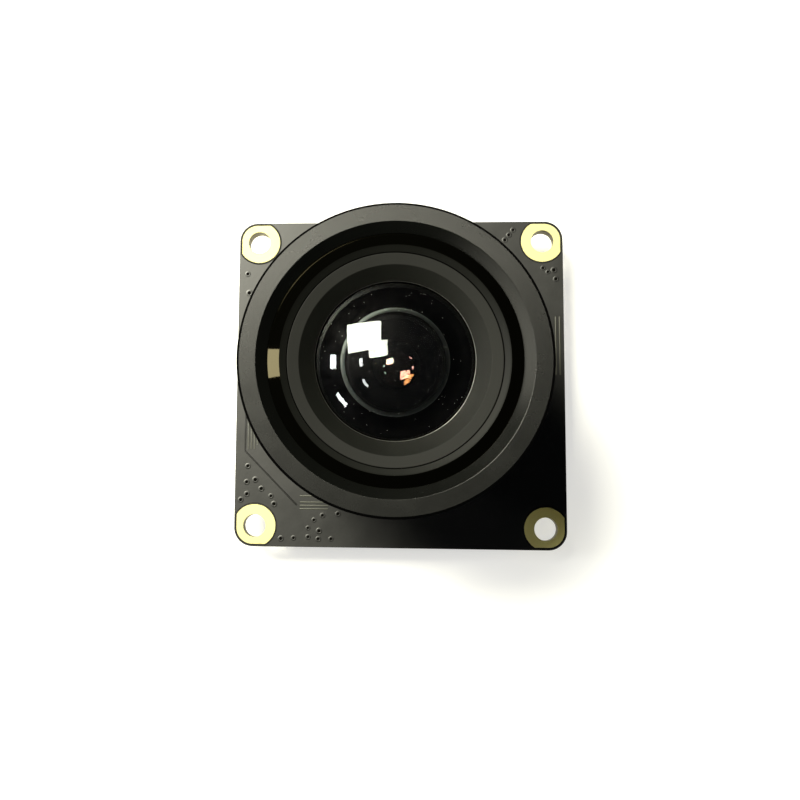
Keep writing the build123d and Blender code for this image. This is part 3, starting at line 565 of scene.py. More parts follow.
class Recipe:
    """A Geometry Nodes tree with named inputs, run on a mesh through a modifier that is then removed."""

    def __init__(self, name: str) -> None:
        """Start a tree with a geometry input and output.

        Args:
            name: The tree's name.
        """
        self.tree = bpy.data.node_groups.new(name, "GeometryNodeTree")
        self.tree.interface.new_socket("Geometry", in_out="INPUT", socket_type="NodeSocketGeometry")
        self.tree.interface.new_socket("Geometry", in_out="OUTPUT", socket_type="NodeSocketGeometry")
        self.entry = self.tree.nodes.new("NodeGroupInput")
        self.identifiers: dict[str, str] = {}

    @property
    def source(self) -> NodeSocket:
        """The geometry of the object that the tree runs on."""
        return self.entry.outputs["Geometry"]

    def ask(self, label: str, kind: str) -> NodeSocket:
        """Add a named input.

        Args:
            label: The input's name.
            kind: The socket type, without its NodeSocket prefix.

        Returns:
            The socket that carries the input inside the tree.
        """
        made = self.tree.interface.new_socket(label, in_out="INPUT", socket_type=f"NodeSocket{kind}")
        self.identifiers[label] = made.identifier
        return self.entry.outputs[label]

    def add(self, kind: str, inputs: dict | None = None, **settings: object) -> Node:
        """Add a node to the tree, as add_node does."""
        return add_node(self.tree, kind, inputs, **settings)

    def coated(self, index: int) -> NodeSocket:
        """Selection of what carries one finish number.

        Args:
            index: The finish number.

        Returns:
            The socket that is true where the number matches.
        """
        mark = self.add("GeometryNodeInputNamedAttribute", {"Name": "coat"}, data_type="INT")
        wires = {2: mark.outputs[0], 3: index}
        return self.add("FunctionNodeCompare", wires, data_type="INT", operation="EQUAL").outputs[0]

    def sweep(self, path: NodeSocket, radius: NodeSocket, sides: int) -> NodeSocket:
        """Sweep a round section along a curve and cap its ends.

        Args:
            path: The curve.
            radius: Radius of the section.
            sides: How many sides it has.

        Returns:
            The swept mesh.
        """
        section = self.add("GeometryNodeCurvePrimitiveCircle", {"Resolution": sides, "Radius": radius})
        wires = {"Curve": path, "Profile Curve": section.outputs[0], "Fill Caps": True}
        return self.add("GeometryNodeCurveToMesh", wires).outputs[0]

    def finish(self, shape: NodeSocket, materials: dict[str, NodeSocket | None]) -> None:
        """Realize the instances, set the materials and close the tree.

        Args:
            shape: The geometry that the tree has made.
            materials: Material inputs by name, each with the faces that it covers; None covers all.
        """
        shape = self.add("GeometryNodeRealizeInstances", {"Geometry": shape}).outputs[0]
        for label, faces in materials.items():
            wires: dict[str, object] = {"Geometry": shape, "Material": self.ask(label, "Material")}
            if faces is not None:
                wires["Selection"] = faces
            shape = self.add("GeometryNodeSetMaterial", wires).outputs[0]
        self.add("NodeGroupOutput", {"Geometry": shape})

    def run(self, name: str, source: Mesh, values: dict[str, object]) -> Object:
        """Run the tree on a mesh and keep the result as a plain mesh.

        Args:
            name: The new object's name.
            source: The mesh that the tree starts from.
            values: The inputs by name.

        Returns:
            The finished object, with no modifier left.
        """
        made = add_object(name, source)
        modifier = made.modifiers.new("recipe", "NODES")
        modifier.node_group = self.tree
        for label, value in values.items():
            modifier[self.identifiers[label]] = value
        evaluated = made.evaluated_get(bpy.context.evaluated_depsgraph_get())
        mesh = bpy.data.meshes.new_from_object(evaluated)
        made.modifiers.clear()
        made.data = mesh
        mesh.name = name
        close_up(mesh)
        return made


@dataclass(frozen=True)
class Turn:
    """A corner of a turned outline.

    rounding is the radius of its worn or broken edge, and coat the number of the finish on
    the stretch that starts here.
    """

    radius: float
    h: float
    rounding: float = 0.0
    coat: int = 0


def angle_between(start: float, end: float) -> float:
    """Signed turn from one angle to another, by the shorter way."""
    return (end - start + math.pi) % (2 * math.pi) - math.pi


def outline_points(corners: list[Turn], steps: int = 4) -> Outline:
    """Round the corners of a closed outline.

    Args:
        corners: The corners in order.
        steps: How many pieces each rounded corner gets.

    Returns:
        Radius, height and finish number of each point.
    """
    points: Outline = []
    for index, corner in enumerate(corners):
        here = Vector((corner.radius, corner.h))
        if corner.rounding <= 0:
            points.append((here.x, here.y, corner.coat))
            continue
        last = corners[index - 1]
        following = corners[(index + 1) % len(corners)]
        backward = (Vector((last.radius, last.h)) - here).normalized()
        forward = (Vector((following.radius, following.h)) - here).normalized()
        half = backward.angle(forward) / 2
        reach = corner.rounding / math.tan(half)
        centre = here + (backward + forward).normalized() * corner.rounding / math.sin(half)
        first = here + backward * reach - centre
        final = here + forward * reach - centre
        start = math.atan2(first.y, first.x)
        sweep = angle_between(start, math.atan2(final.y, final.x))
        for step in range(steps + 1):
            angle = start + sweep * step / steps
            x = centre.x + corner.rounding * math.cos(angle)
            y = centre.y + corner.rounding * math.sin(angle)
            points.append((x, y, corner.coat))
    return points


def with_supports(points: Outline) -> Outline:
    """Close an outline and add a point near each end of its long straight runs.

    The extra points keep a flat face shaded flat right up to its broken edge.

    Args:
        points: The outline, open at its end.

    Returns:
        The outline with its first point repeated as the last.
    """
    closed: Outline = []
    for index, (radius, h, coat) in enumerate(points):
        closed.append((radius, h, coat))
        next_radius, next_h, _ = points[(index + 1) % len(points)]
        run = math.hypot(next_radius - radius, next_h - h)
        if run > 6 * SUPPORT:
            for share in (SUPPORT / run, 1 - SUPPORT / run):
                closed.append((radius + (next_radius - radius) * share, h + (next_h - h) * share, coat))
    return closed + [points[0]]


class Lathe:
    """Turns outlines about the lens axis with one Geometry Nodes tree."""

    COATS = ("First finish", "Second finish", "Third finish")

    def __init__(self, datum: Datum) -> None:
        """Build the tree: a grid whose columns follow the outline and whose rows go round.

        Args:
            datum: Heights of the board's faces.
        """
        self.datum = datum
        self.recipe = Recipe("turn_about_lens_axis")
        recipe = self.recipe
        segments = recipe.ask("Segments", "Int")
        size = recipe.add("GeometryNodeAttributeDomainSize", {"Geometry": recipe.source})
        count = size.outputs["Point Count"]
        rows = recipe.add("ShaderNodeMath", {0: segments, 1: 1}, operation="ADD").outputs[0]
        grid = recipe.add(
            "GeometryNodeMeshGrid",
            {"Size X": 1.0, "Size Y": 1.0, "Vertices X": count, "Vertices Y": rows},
        )
        spot = recipe.add("GeometryNodeInputPosition").outputs[0]
        place = recipe.add("ShaderNodeSeparateXYZ", {0: spot})
        last = recipe.add("ShaderNodeMath", {0: count, 1: 1}, operation="SUBTRACT").outputs[0]
        across = recipe.add("ShaderNodeMath", {0: place.outputs["X"], 1: 0.5}, operation="ADD").outputs[0]
        column = recipe.add("ShaderNodeMath", {0: across, 1: last}, operation="MULTIPLY").outputs[0]
        stretch = recipe.add("ShaderNodeMath", {0: column}, operation="FLOOR").outputs[0]
        corner = recipe.add("ShaderNodeMath", {0: column}, operation="ROUND").outputs[0]
        number = recipe.add("GeometryNodeInputNamedAttribute", {"Name": "coat"}, data_type="INT")
        coat = recipe.add(
            "GeometryNodeSampleIndex",
            {"Geometry": recipe.source, "Value": number.outputs[0], "Index": stretch},
            data_type="INT",
            domain="POINT",
        )
        marked = recipe.add(
            "GeometryNodeStoreNamedAttribute",
            {"Geometry": grid.outputs["Mesh"], "Name": "coat", "Value": coat.outputs[0]},
            data_type="INT",
            domain="FACE",
        )
        sample = recipe.add(
            "GeometryNodeSampleIndex",
            {"Geometry": recipe.source, "Value": spot, "Index": corner},
            data_type="FLOAT_VECTOR",
            domain="POINT",
        )
        share = recipe.add("ShaderNodeMath", {0: place.outputs["Y"], 1: 0.5}, operation="ADD").outputs[0]
        angle = recipe.add("ShaderNodeMath", {0: share, 1: 2 * math.pi}, operation="MULTIPLY").outputs[0]
        turned = recipe.add(
            "ShaderNodeVectorRotate",
            {"Vector": sample.outputs[0], "Angle": angle},
            rotation_type="Z_AXIS",
        )
        shape = recipe.add(
            "GeometryNodeSetPosition",
            {"Geometry": marked.outputs[0], "Position": turned.outputs[0]},
        )
        merged = recipe.add(
            "GeometryNodeMergeByDistance", {"Geometry": shape.outputs[0], "Distance": MERGE_DISTANCE}
        )
        materials: dict[str, NodeSocket | None] = {self.COATS[0]: None}
        for index in (1, 2):
            materials[self.COATS[index]] = recipe.coated(index)
        recipe.finish(merged.outputs[0], materials)

    def turn(self, name: str, points: Outline, materials: list[Material], segments: int = 192) -> Object:
        """Turn one outline.

        Args:
            name: The new object's name.
            points: Radius, height above the board's front face and finish number, in order.
            materials: One to three materials, in the order of their numbers.
            segments: How many steps go round.

        Returns:
            The turned object.
        """
        mesh = bpy.data.meshes.new(name)
        mesh.from_pydata([self.datum.point(r, 0, h) for r, h, _ in points], [], [])
        numbers = mesh.attributes.new("coat", "INT", "POINT")
        numbers.data.foreach_set("value", [coat for _, _, coat in points])
        values: dict[str, object] = {"Segments": segments}
        for label, material in zip(self.COATS, materials + [materials[0]] * 2):
            values[label] = material
        return self.recipe.run(name, mesh, values)

    def ring(self, name: str, corners: list[Turn], materials: list[Material]) -> Object:
        """Turn a closed ring from its corners."""
        return self.turn(name, with_supports(outline_points(corners)), materials)


def publish(piece: Object, slot: str, *nodes: str) -> Object:
    """Fix a finished piece to the module and log it.

    Args:
        piece: The finished object.
        slot: The record's slot of the piece's finish; not used.
        nodes: The CAD nodes that it stands for, if any.

    Returns:
        The same object.
    """
    if nodes:
        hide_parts(*nodes)
    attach(piece, "root")
    LOG.info("%s: %d faces, for %s", piece.name, len(piece.data.polygons), ", ".join(nodes) or "detail")
    return piece


@dataclass(frozen=True)
class Dome:
    """A polished face of a lens: rim height, rim radius and how far its middle rises over the rim."""

    rim_h: float
    rim_radius: float
    rise: float

    def height(self, radius: float) -> float:
        """Height of the face at a radius.

        Args:
            radius: Distance from the lens axis.

        Returns:
            Height above the board's front face.
        """
        sphere = (self.rim_radius**2 + self.rise**2) / (2 * abs(self.rise))
        fall = sphere - math.sqrt(sphere**2 - radius**2)
        return self.rim_h + self.rise - math.copysign(fall, self.rise)

    def points(self, coat: int, steps: int = 28) -> Outline:
        """Points from the middle out to the rim."""
        radii = [self.rim_radius * math.sin(math.pi / 2 * step / steps) for step in range(steps + 1)]
        return [(radius, self.height(radius), coat) for radius in radii]


@dataclass(frozen=True)
class LensShape:
    """One lens: its ground edge, front and back faces and the width of its back bevel."""

    node: str
    edge_radius: float
    front: Dome
    back: Dome
    bevel: float = 0.0
    bevel_rise: float = 0.0

    def outline(self) -> Outline:
        """Outline from the middle of the front round to the middle of the back.

        Finish 0 is polished, 1 is inked and 2 is the bare ground bevel.

        Returns:
            Radius, height and finish number of each point.
        """
        points = self.front.points(0)
        points[-1] = (*points[-1][:2], 1)
        points.append((self.edge_radius, self.front.rim_h, 1))
        foot = self.back.rim_h - self.bevel_rise
        points.append((self.edge_radius, foot, 1))
        if self.bevel:
            points.append((self.back.rim_radius + self.bevel, foot, 2))
        back = self.back.points(0)
        back.reverse()
        return points + back


@dataclass
class LensGroup:
    """The barrel, its five lenses and everything turned that holds them.

    The last sizes are the four radii of rounded edges, from crisp to soft, and the dust.
    """

    lathe: Lathe
    thread_core: float = 5.8
    thread_pitch: float = 0.5
    thread_lift: float = 0.02
    thread_ridge: float = 0.18
    rear_h: float = 5.0
    head_h: float = 11.6
    cone_h: float = 13.2
    stop_radius: float = 11.6
    stop_h: float = 14.6
    flange_low_round: float = 0.1
    flange_high_round: float = 0.08
    head_radius: float = 10.55
    groove_h: float = 19.25
    rim_h: float = 19.657
    rim_outer: float = 9.5
    rim_inner: float = 9.4
    rim_fall: float = 0.07
    ring_bore: float = 8.95
    ring_bore_h: float = 19.33
    ring_foot_h: float = 17.75
    front_bore: float = 8.4
    front_seat_h: float = 16.2
    spacer_bore: float = 6.55
    spacer_seat_h: float = 14.2
    spacer_top_radius: float = 3.95
    spacer_low_radius: float = 2.1
    second_bore: float = 5.45
    second_seat_h: float = 12.6
    lip_radius: float = 3.9
    lip_h: float = 11.9
    rear_bore: float = 4.3
    slide: float = 0.05
    hood_radius: float = 13.0
    hood_face_h: float = 20.0
    hood_face_inner: float = 11.42
    hood_foot_radius: float = 11.9
    hood_foot_round: float = 0.12
    hood_flare_round: float = 0.5
    edge_break: float = 0.22
    mouth_low_radius: float = 10.52
    mouth_lip: float = 0.05
    hood_flare_h: float = 16.6
    ring_step_radius: float = 7.93
    ring_lip_radius: float = 6.65
    ring_top_fall: float = 0.06
    ring_step_fall: float = 0.145
    lip_land: float = 0.1
    lip_bevel: float = 0.045
    ring_foot_radius: float = 7.35
    stop_cup_h: float = 10.9
    stop_cup_low_h: float = 9.3
    cement_h: float = 7.1
    retainer_h: float = 6.3
    aperture_radius: float = 1.6
    cup_floor: float = 0.3
    cup_lip: float = 0.12
    front_bulge: float = 2.18
    front_hollow: float = 1.11
    front_bevel: float = 0.32
    front_bevel_rise: float = 0.15
    second_bulge: float = 0.12
    second_hollow: float = 1.37
    second_hollow_radius: float = 3.1
    second_bevel: float = 0.15
    third_bulge: float = 1.5
    third_back_bulge: float = 0.95
    flint_hollow: float = 0.25
    flint_hollow_radius: float = 3.6
    cement_hollow: float = 1.18
    cement_film: float = 0.03
    crown_back_bulge: float = 0.73
    crisp: float = 0.02
    fine: float = 0.03
    broken: float = 0.04
    soft: float = 0.05
    dust_specks: float = 7.5e5
    dust_margin: float = 0.2
    dust_radius: float = 0.03
    dust_seed: int = 11
    lenses: list[LensShape] = field(default_factory=list)

    def __post_init__(self) -> None:
        """Work out the five lenses from their seats."""
        edge = self.rear_bore - self.slide
        lip = self.lip_radius
        slide = self.slide
        front_back_h = self.front_seat_h + self.front_bevel_rise
        self.lenses = [
            LensShape(
                "front_lens",
                self.front_bore - slide,
                Dome(self.ring_foot_h, self.ring_foot_radius - 3 * slide, self.front_bulge),
                Dome(front_back_h, self.spacer_top_radius - slide, self.front_hollow),
                self.front_bevel,
                self.front_bevel_rise,
            ),
            LensShape(
                "second_lens",
                self.second_bore - slide,
                Dome(self.spacer_seat_h, self.spacer_low_radius - slide, self.second_bulge),
                Dome(self.second_seat_h, self.second_hollow_radius, self.second_hollow),
                self.second_bevel,
            ),
            LensShape(
                "third_lens",
                edge,
                Dome(self.lip_h, lip - 2 * slide, self.third_bulge),
                Dome(self.stop_cup_h, lip - 4 * slide, -self.third_back_bulge),
            ),
            LensShape(
                "flint_lens",
                edge,
                Dome(self.stop_cup_low_h, self.flint_hollow_radius, -self.flint_hollow),
                Dome(self.cement_h, lip, self.cement_hollow),
            ),
            LensShape(
                "crown_lens",
                edge,
                Dome(self.cement_h, lip - slide, self.cement_hollow - self.cement_film),
                Dome(self.retainer_h, lip - 3 * slide, -self.crown_back_bulge),
            ),
        ]

    def turn_ring(self, node: str, corners: list[Turn], *finishes: Finish) -> None:
        """Turn a ring in place of a CAD node.

        Args:
            node: The node that it stands for.
            corners: Its corners in order.
            finishes: One to three finishes, in the order of their numbers.
        """
        materials = [finish.build() for finish in finishes]
        publish(self.lathe.ring(f"{node}_turned", corners, materials), "black_anodised", node)

    def build_lenses(self) -> None:
        """Turn the five lenses."""
        for lens in self.lenses:
            materials = [GLASSES[lens.node].build(), INK_AND_EDGE_SHADE.build(), GROUND_BEVEL.build()]
            piece = self.lathe.turn(f"{lens.node}_polished", lens.outline(), materials)
            publish(piece, "optical_glass", lens.node)

    def build_barrel(self) -> None:
        """Turn the barrel: anodised outside, lacquered shoulder and dull black bores."""
        corners = [
            Turn(self.thread_core, self.rear_h, self.soft),
            Turn(self.thread_core, self.head_h),
            Turn(self.stop_radius, self.cone_h, self.flange_low_round),
            Turn(self.stop_radius, self.stop_h, self.flange_high_round),
            Turn(self.head_radius, self.stop_h),
            Turn(self.head_radius, self.groove_h, 0.0, 1),
            Turn(self.rim_outer, self.rim_h),
            Turn(self.rim_inner, self.rim_h - self.rim_fall, self.crisp),
            Turn(self.ring_bore, self.ring_bore_h, self.fine, 2),
        ]
        bores = [self.ring_bore, self.front_bore, self.spacer_bore]
        bores += [self.second_bore, self.lip_radius, self.rear_bore]
        seats = [self.ring_foot_h, self.front_seat_h, self.spacer_seat_h, self.second_seat_h, self.lip_h]
        for radius, next_radius, seat in zip(bores, bores[1:], seats):
            corners += [Turn(radius, seat, 0.0, 2), Turn(next_radius, seat, 0.0, 2)]
        corners.append(Turn(self.rear_bore, self.rear_h, self.soft))
        self.turn_ring("lens_barrel", corners, RING_ANODISED, SHOULDER_BLACK, INNER_BLACK)

    def build_hood(self) -> None:
        """Turn the wide hood with broken edges and a chamfered mouth."""
        bore = self.head_radius + self.slide
        corners = [
            Turn(bore, self.stop_h, self.broken),
            Turn(self.hood_foot_radius, self.stop_h, self.hood_foot_round),
            Turn(self.hood_radius, self.hood_flare_h, self.hood_flare_round),
            # The broken outer edge takes the dull black: painted shade along the hood's rim.
            Turn(self.hood_radius, self.hood_face_h - self.edge_break, 0.0, 1),
            Turn(self.hood_radius - self.edge_break, self.hood_face_h),
            Turn(self.hood_face_inner, self.hood_face_h, self.broken),
            Turn(self.mouth_low_radius, self.groove_h + self.mouth_lip, self.crisp),
            Turn(bore, self.groove_h),
        ]
        self.turn_ring("front_hood", corners, HOOD_ANODISED, INK_AND_EDGE_SHADE)

    def build_rings(self) -> None:
        """Turn the retaining ring, the spacer, the aperture cup and the rear retainer."""
        lip_low = self.lenses[0].front.height(self.ring_lip_radius) + self.slide
        lip_top = lip_low + self.lip_land
        radius = self.ring_bore - self.slide
        edge = self.rear_bore - self.slide
        retaining = [
            Turn(radius, self.ring_foot_h),
            Turn(radius, self.ring_bore_h - self.ring_top_fall, self.broken),
            Turn(self.ring_step_radius, self.ring_bore_h - self.ring_step_fall, self.broken),
            # The lip's bevel takes the bare grey metal: partly worn blacking, partly a painted highlight.
            Turn(self.ring_lip_radius + self.lip_bevel, lip_top + self.lip_bevel, 0.0, 1),
            Turn(self.ring_lip_radius, lip_top),
            Turn(self.ring_lip_radius, lip_low, self.crisp),
            Turn(self.ring_foot_radius, self.ring_foot_h),
        ]
        self.turn_ring("retaining_ring", retaining, RING_ANODISED, WORN_EDGE_AND_HIGHLIGHT)
        spacer = [
            Turn(self.spacer_bore - self.slide, self.spacer_seat_h),
            Turn(self.spacer_bore - self.slide, self.front_seat_h),
            Turn(self.spacer_top_radius, self.front_seat_h, self.broken),
            Turn(self.spacer_low_radius, self.spacer_seat_h, self.crisp),
        ]
        self.turn_ring("spacer_ring", spacer, INNER_BLACK)
        cup = [
            Turn(self.aperture_radius, self.stop_cup_low_h, self.fine),
            Turn(edge, self.stop_cup_low_h),
            Turn(edge, self.stop_cup_h),
            Turn(self.lip_radius, self.stop_cup_h),
            Turn(self.lip_radius, self.stop_cup_low_h + self.cup_floor),
            Turn(self.aperture_radius, self.stop_cup_low_h + self.cup_lip, self.fine),
        ]
        self.turn_ring("aperture_stop", cup, INNER_BLACK)
        retainer = [
            Turn(self.lip_radius, self.rear_h, self.broken),
            Turn(edge, self.rear_h, self.broken),
            Turn(edge, self.retainer_h),
            Turn(self.lip_radius, self.retainer_h),
        ]
        self.turn_ring("rear_retainer", retainer, INNER_BLACK)

    def build_thread(self) -> None:
        """Cut the lens thread: a ridge that climbs round the barrel."""
        recipe = Recipe("lens_thread")
        labels = ("Turns", "Radius", "Height", "Foot", "Ridge")
        turns, radius, height, foot, ridge = (recipe.ask(label, "Float") for label in labels)
        values = {"Resolution": 72, "Rotations": turns, "Height": height}
        values |= {"Start Radius": radius, "End Radius": radius}
        spiral = recipe.add("GeometryNodeCurveSpiral", values)
        lift = recipe.add("ShaderNodeCombineXYZ", {"Z": foot})
        placed = recipe.add(
            "GeometryNodeTransform", {"Geometry": spiral.outputs[0], "Translation": lift.outputs[0]}
        )
        recipe.finish(recipe.sweep(placed.outputs[0], ridge, 6), {"Finish": None})
        length = self.head_h - self.rear_h - 2 * self.thread_pitch
        foot_point = self.lathe.datum.point(0, 0, self.rear_h + self.thread_pitch)
        piece = recipe.run(
            "lens_thread",
            bpy.data.meshes.new("lens_thread"),
            {
                "Turns": length / self.thread_pitch,
                "Radius": (self.thread_core + self.thread_lift) * MM,
                "Height": length * MM,
                "Foot": foot_point.z,
                "Ridge": self.thread_ridge * MM,
                "Finish": RING_ANODISED.build(),
            },
        )
        publish(piece, "black_anodised")

    def build_dust(self) -> None:
        """Scatter a few specks of lint over the front of the glass."""
        front = self.lenses[0].front
        reach = self.ring_lip_radius - self.dust_margin
        points = [(r, h, 0) for r, h, _ in front.points(0) if r < reach]
        recipe = Recipe("lens_dust")
        density = recipe.ask("Density", "Float")
        seed = recipe.ask("Seed", "Int")
        size = recipe.ask("Size", "Float")
        spots = recipe.add(
            "GeometryNodeDistributePointsOnFaces",
            {"Mesh": recipe.source, "Density": density, "Seed": seed},
        )
        speck = recipe.add("GeometryNodeMeshIcoSphere", {"Radius": size, "Subdivisions": 1})
        scale = recipe.add(
            "FunctionNodeRandomValue",
            {0: (0.4, 0.4, 0.2), 1: (1.4, 1.0, 0.5), "Seed": seed},
            data_type="FLOAT_VECTOR",
        )
        placed = recipe.add(
            "GeometryNodeInstanceOnPoints",
            {
                "Points": spots.outputs["Points"],
                "Instance": speck.outputs[0],
                "Rotation": spots.outputs["Rotation"],
                "Scale": scale.outputs[0],
            },
        )
        recipe.finish(placed.outputs[0], {"Finish": None})
        base = self.lathe.turn("lens_dust_base", points, [DUST.build()], 96)
        mesh = base.data.copy()
        bpy.data.objects.remove(base)
        values = {
            "Density": self.dust_specks,
            "Seed": self.dust_seed,
            "Size": self.dust_radius * MM,
            "Finish": DUST.build(),
        }
        publish(recipe.run("lens_dust", mesh, values), "optical_glass")

    def build(self) -> None:
        """Build the whole group."""
        self.build_barrel()
        self.build_hood()
        self.build_rings()
        self.build_lenses()
        self.build_thread()
        self.build_dust()


def plate(
    name: str,
    outlines: list[list[tuple[float, float]]],
    low: float,
    high: float,
    edge_break: float,
    materials: list[Material],
) -> Object:
    """Make a flat plate with holes from closed outlines.

    Args:
        name: The new object's name.
        outlines: Outer outlines and holes, as points in millimetres.
        low: Height of the underside in the frame, in millimetres.
        high: Height of the top in the frame, in millimetres.
        edge_break: Rounding of the edges, in millimetres.
        materials: Faces first, then the edges, if they differ.

    Returns:
        The plate as a mesh object.
    """
    curve = bpy.data.curves.new(name, "CURVE")
    curve.dimensions = "2D"
    curve.fill_mode = "BOTH"
    curve.extrude = ((high - low) / 2 - edge_break) * MM
    curve.bevel_depth = edge_break * MM
    curve.bevel_resolution = 1
    curve.offset = -edge_break * MM
    for outline in outlines:
        spline = curve.splines.new("POLY")
        spline.points.add(len(outline) - 1)
        for point, (x, y) in zip(spline.points, outline):
            point.co = (x * MM, y * MM, 0, 1)
        spline.use_cyclic_u = True
    shaped = bpy.data.objects.new(name, curve)
    bpy.context.scene.collection.objects.link(shaped)
    evaluated = shaped.evaluated_get(bpy.context.evaluated_depsgraph_get())
    mesh = bpy.data.meshes.new_from_object(evaluated)
    mesh.transform(Matrix.Translation((0, 0, (low + high) / 2 * MM)))
    bpy.data.objects.remove(shaped)
    close_up(mesh)
    shade(mesh, PLATE_ANGLE)
    mesh.materials.clear()
    for material in materials:
        mesh.materials.append(material)
    if len(materials) > 1:
        for face in mesh.polygons:
            face.material_index = 1 if abs(face.normal.z) < 0.3 else 0
    mesh.name = name
    return add_object(name, mesh)


def circle(x: float, y: float, radius: float, steps: int = 64) -> list[tuple[float, float]]:
    """Points round a circle."""
    angles = [2 * math.pi * step / steps for step in range(steps)]
    return [(x + radius * math.cos(angle), y + radius * math.sin(angle)) for angle in angles]


def rounded_square(side: float, corner: float, steps: int = 12) -> list[tuple[float, float]]:
    """Points round a square with rounded corners, centred on the axis.

    Args:
        side: Width of the square.
        corner: Radius of its corners.
        steps: How many pieces each corner gets.

    Returns:
        The points in order.
    """
    inner = side / 2 - corner
    points = []
    for quarter, (x, y) in enumerate(((1, 1), (-1, 1), (-1, -1), (1, -1))):
        for step in range(steps + 1):
            angle = math.pi / 2 * (quarter + step / steps)
            points.append((x * inner + corner * math.cos(angle), y * inner + corner * math.sin(angle)))
    return points


@dataclass
class Board:
    """The circuit board with its plated corner holes, traces and vias."""

    datum: Datum
    side: float = 32.0
    corner: float = 1.8
    hole_pitch: float = 28.0
    hole_radius: float = 1.1
    plating: float = 0.05
    pad_radius: float = 2.05
    pad_margin: float = 0.25
    screw_pitch: float = 20.0
    screw_hole: float = 1.05
    clearance: float = 0.17
    board_break: float = 0.03
    pad_break: float = 0.012
    wall_break: float = 0.002
    line_height: float = 0.008
    line_break: float = 0.001
    trace_radius: float = 0.1
    trace_sink: float = 0.06
    via_seed: int = 5
    via_outline: tuple[tuple[float, float, int], ...] = (
        (0, -0.03, 0),
        (0.3, -0.03, 0),
        (0.3, 0.0, 0),
        (0.21, 0.016, 0),
        (0.15, 0.016, 1),
        (0.12, 0.003, 1),
        (0, 0.003, 1),
    )

    def corners(self) -> list[tuple[float, float]]:
        """Centres of the four corner holes."""
        half = self.hole_pitch / 2
        return [(x, y) for x in (-half, half) for y in (-half, half)]

    def clipped_pad(self, x: float, y: float, radius: float, margin: float) -> list[tuple[float, float]]:
        """Outline of a round pad cut off along the rounded edge of the board.

        Args:
            x: Centre of the pad along X.
            y: Centre of the pad along Y.
            radius: Radius of the pad.
            margin: Distance that it keeps from the board's edge.

        Returns:
            The points in order.
        """
        limit = self.side / 2 - margin
        rounding = self.corner - margin
        inner = limit - rounding
        points = []
        for px, py in circle(x, y, radius, 96):
            sx = math.copysign(1, x)
            sy = math.copysign(1, y)
            px = sx * min(sx * px, limit)
            py = sy * min(sy * py, limit)
            dx = sx * px - inner
            dy = sy * py - inner
            reach = math.hypot(dx, dy)
            if dx > 0 and dy > 0 and reach > rounding:
                px = sx * (inner + dx * rounding / reach)
                py = sy * (inner + dy * rounding / reach)
            points.append((px, py))
        return points

    def build_board(self) -> None:
        """Make the board itself: masked faces and a bare routed edge."""
        outlines = [rounded_square(self.side, self.corner)]
        outlines += [circle(x, y, self.hole_radius + self.plating) for x, y in self.corners()]
        outlines += [circle(x, 0, self.screw_hole, 40) for x in (-self.screw_pitch / 2, self.screw_pitch / 2)]
        materials = [SOLDER_MASK.build(), BARE_LAMINATE.build()]
        low = self.datum.back
        high = self.datum.front
        board = plate("circuit_board_masked", outlines, low, high, self.board_break, materials)
        publish(board, "solder_mask", "circuit_board")

    def build_pads(self) -> None:
        """Make the gold rings of the corner holes, their sleeves and the bare line round each."""
        gold = [GOLD_PLATING.build()]
        back = self.datum.back
        front = self.datum.front
        pad_top = front + self.plating
        pad_low = back - self.plating
        line_top = front + self.line_height
        rings = []
        walls = []
        lines = []
        for x, y in self.corners():
            hole = circle(x, y, self.hole_radius, 48)
            pad = self.clipped_pad(x, y, self.pad_radius, self.pad_margin)
            sleeve = circle(x, y, self.hole_radius + self.plating, 48)
            rings.append(plate("pad", [pad, hole], front, pad_top, self.pad_break, gold))
            rings.append(plate("pad", [pad, hole], pad_low, back, self.pad_break, gold))
            # The sleeves take the darkened brass: painted shade inside the holes.
            walls.append(plate("wall", [sleeve, hole], back, front, self.wall_break, [HOLE_WALL_SHADE.build()]))
            wide = self.clipped_pad(x, y, self.pad_radius + self.clearance, self.pad_margin - self.clearance)
            bare = [CLEARED_LINE.build()]
            lines.append(plate("line", [wide, pad], front, line_top, self.line_break, bare))
        publish(join("mounting_pads_gold", rings), "gold_plating", "mounting_pads")
        publish(join("hole_walls_plated", walls), "gold_plating")
        publish(join("pad_clearance_lines", lines), "solder_mask")

    def build_traces(self) -> None:
        """Lay the copper traces that show as ridges and pale lines under the mask, the paleness partly a
        painted highlight.
        """
        border = [[(-15.05, -1.2), (-15.05, -6.8), (-9.9, -12.0)]]
        lines = [
            [(-14.75, -2.0), (-14.75, -6.6)],
            [(-14.45, -2.6), (-14.45, -6.6)],
            [(-14.15, -3.4), (-14.15, -6.6)],
            [(-13.85, -4.4), (-13.85, -6.2)],
            [(-9.6, -11.1), (-6.85, -11.1)],
            [(-9.6, -11.7), (-6.85, -11.7)],
            [(-9.6, -12.02), (-6.85, -12.02)],
            [(-9.6, -12.34), (-6.85, -12.34)],
            [(15.2, 6.5), (15.2, 0.8)],
            [(15.58, 6.5), (15.58, 0.8)],
        ]
        self.lay_traces("copper_traces", border, SOLDER_MASK)
        # The pale lines are partly a painted highlight.
        self.lay_traces("copper_lines", lines, MASKED_COPPER_AND_SHEEN)

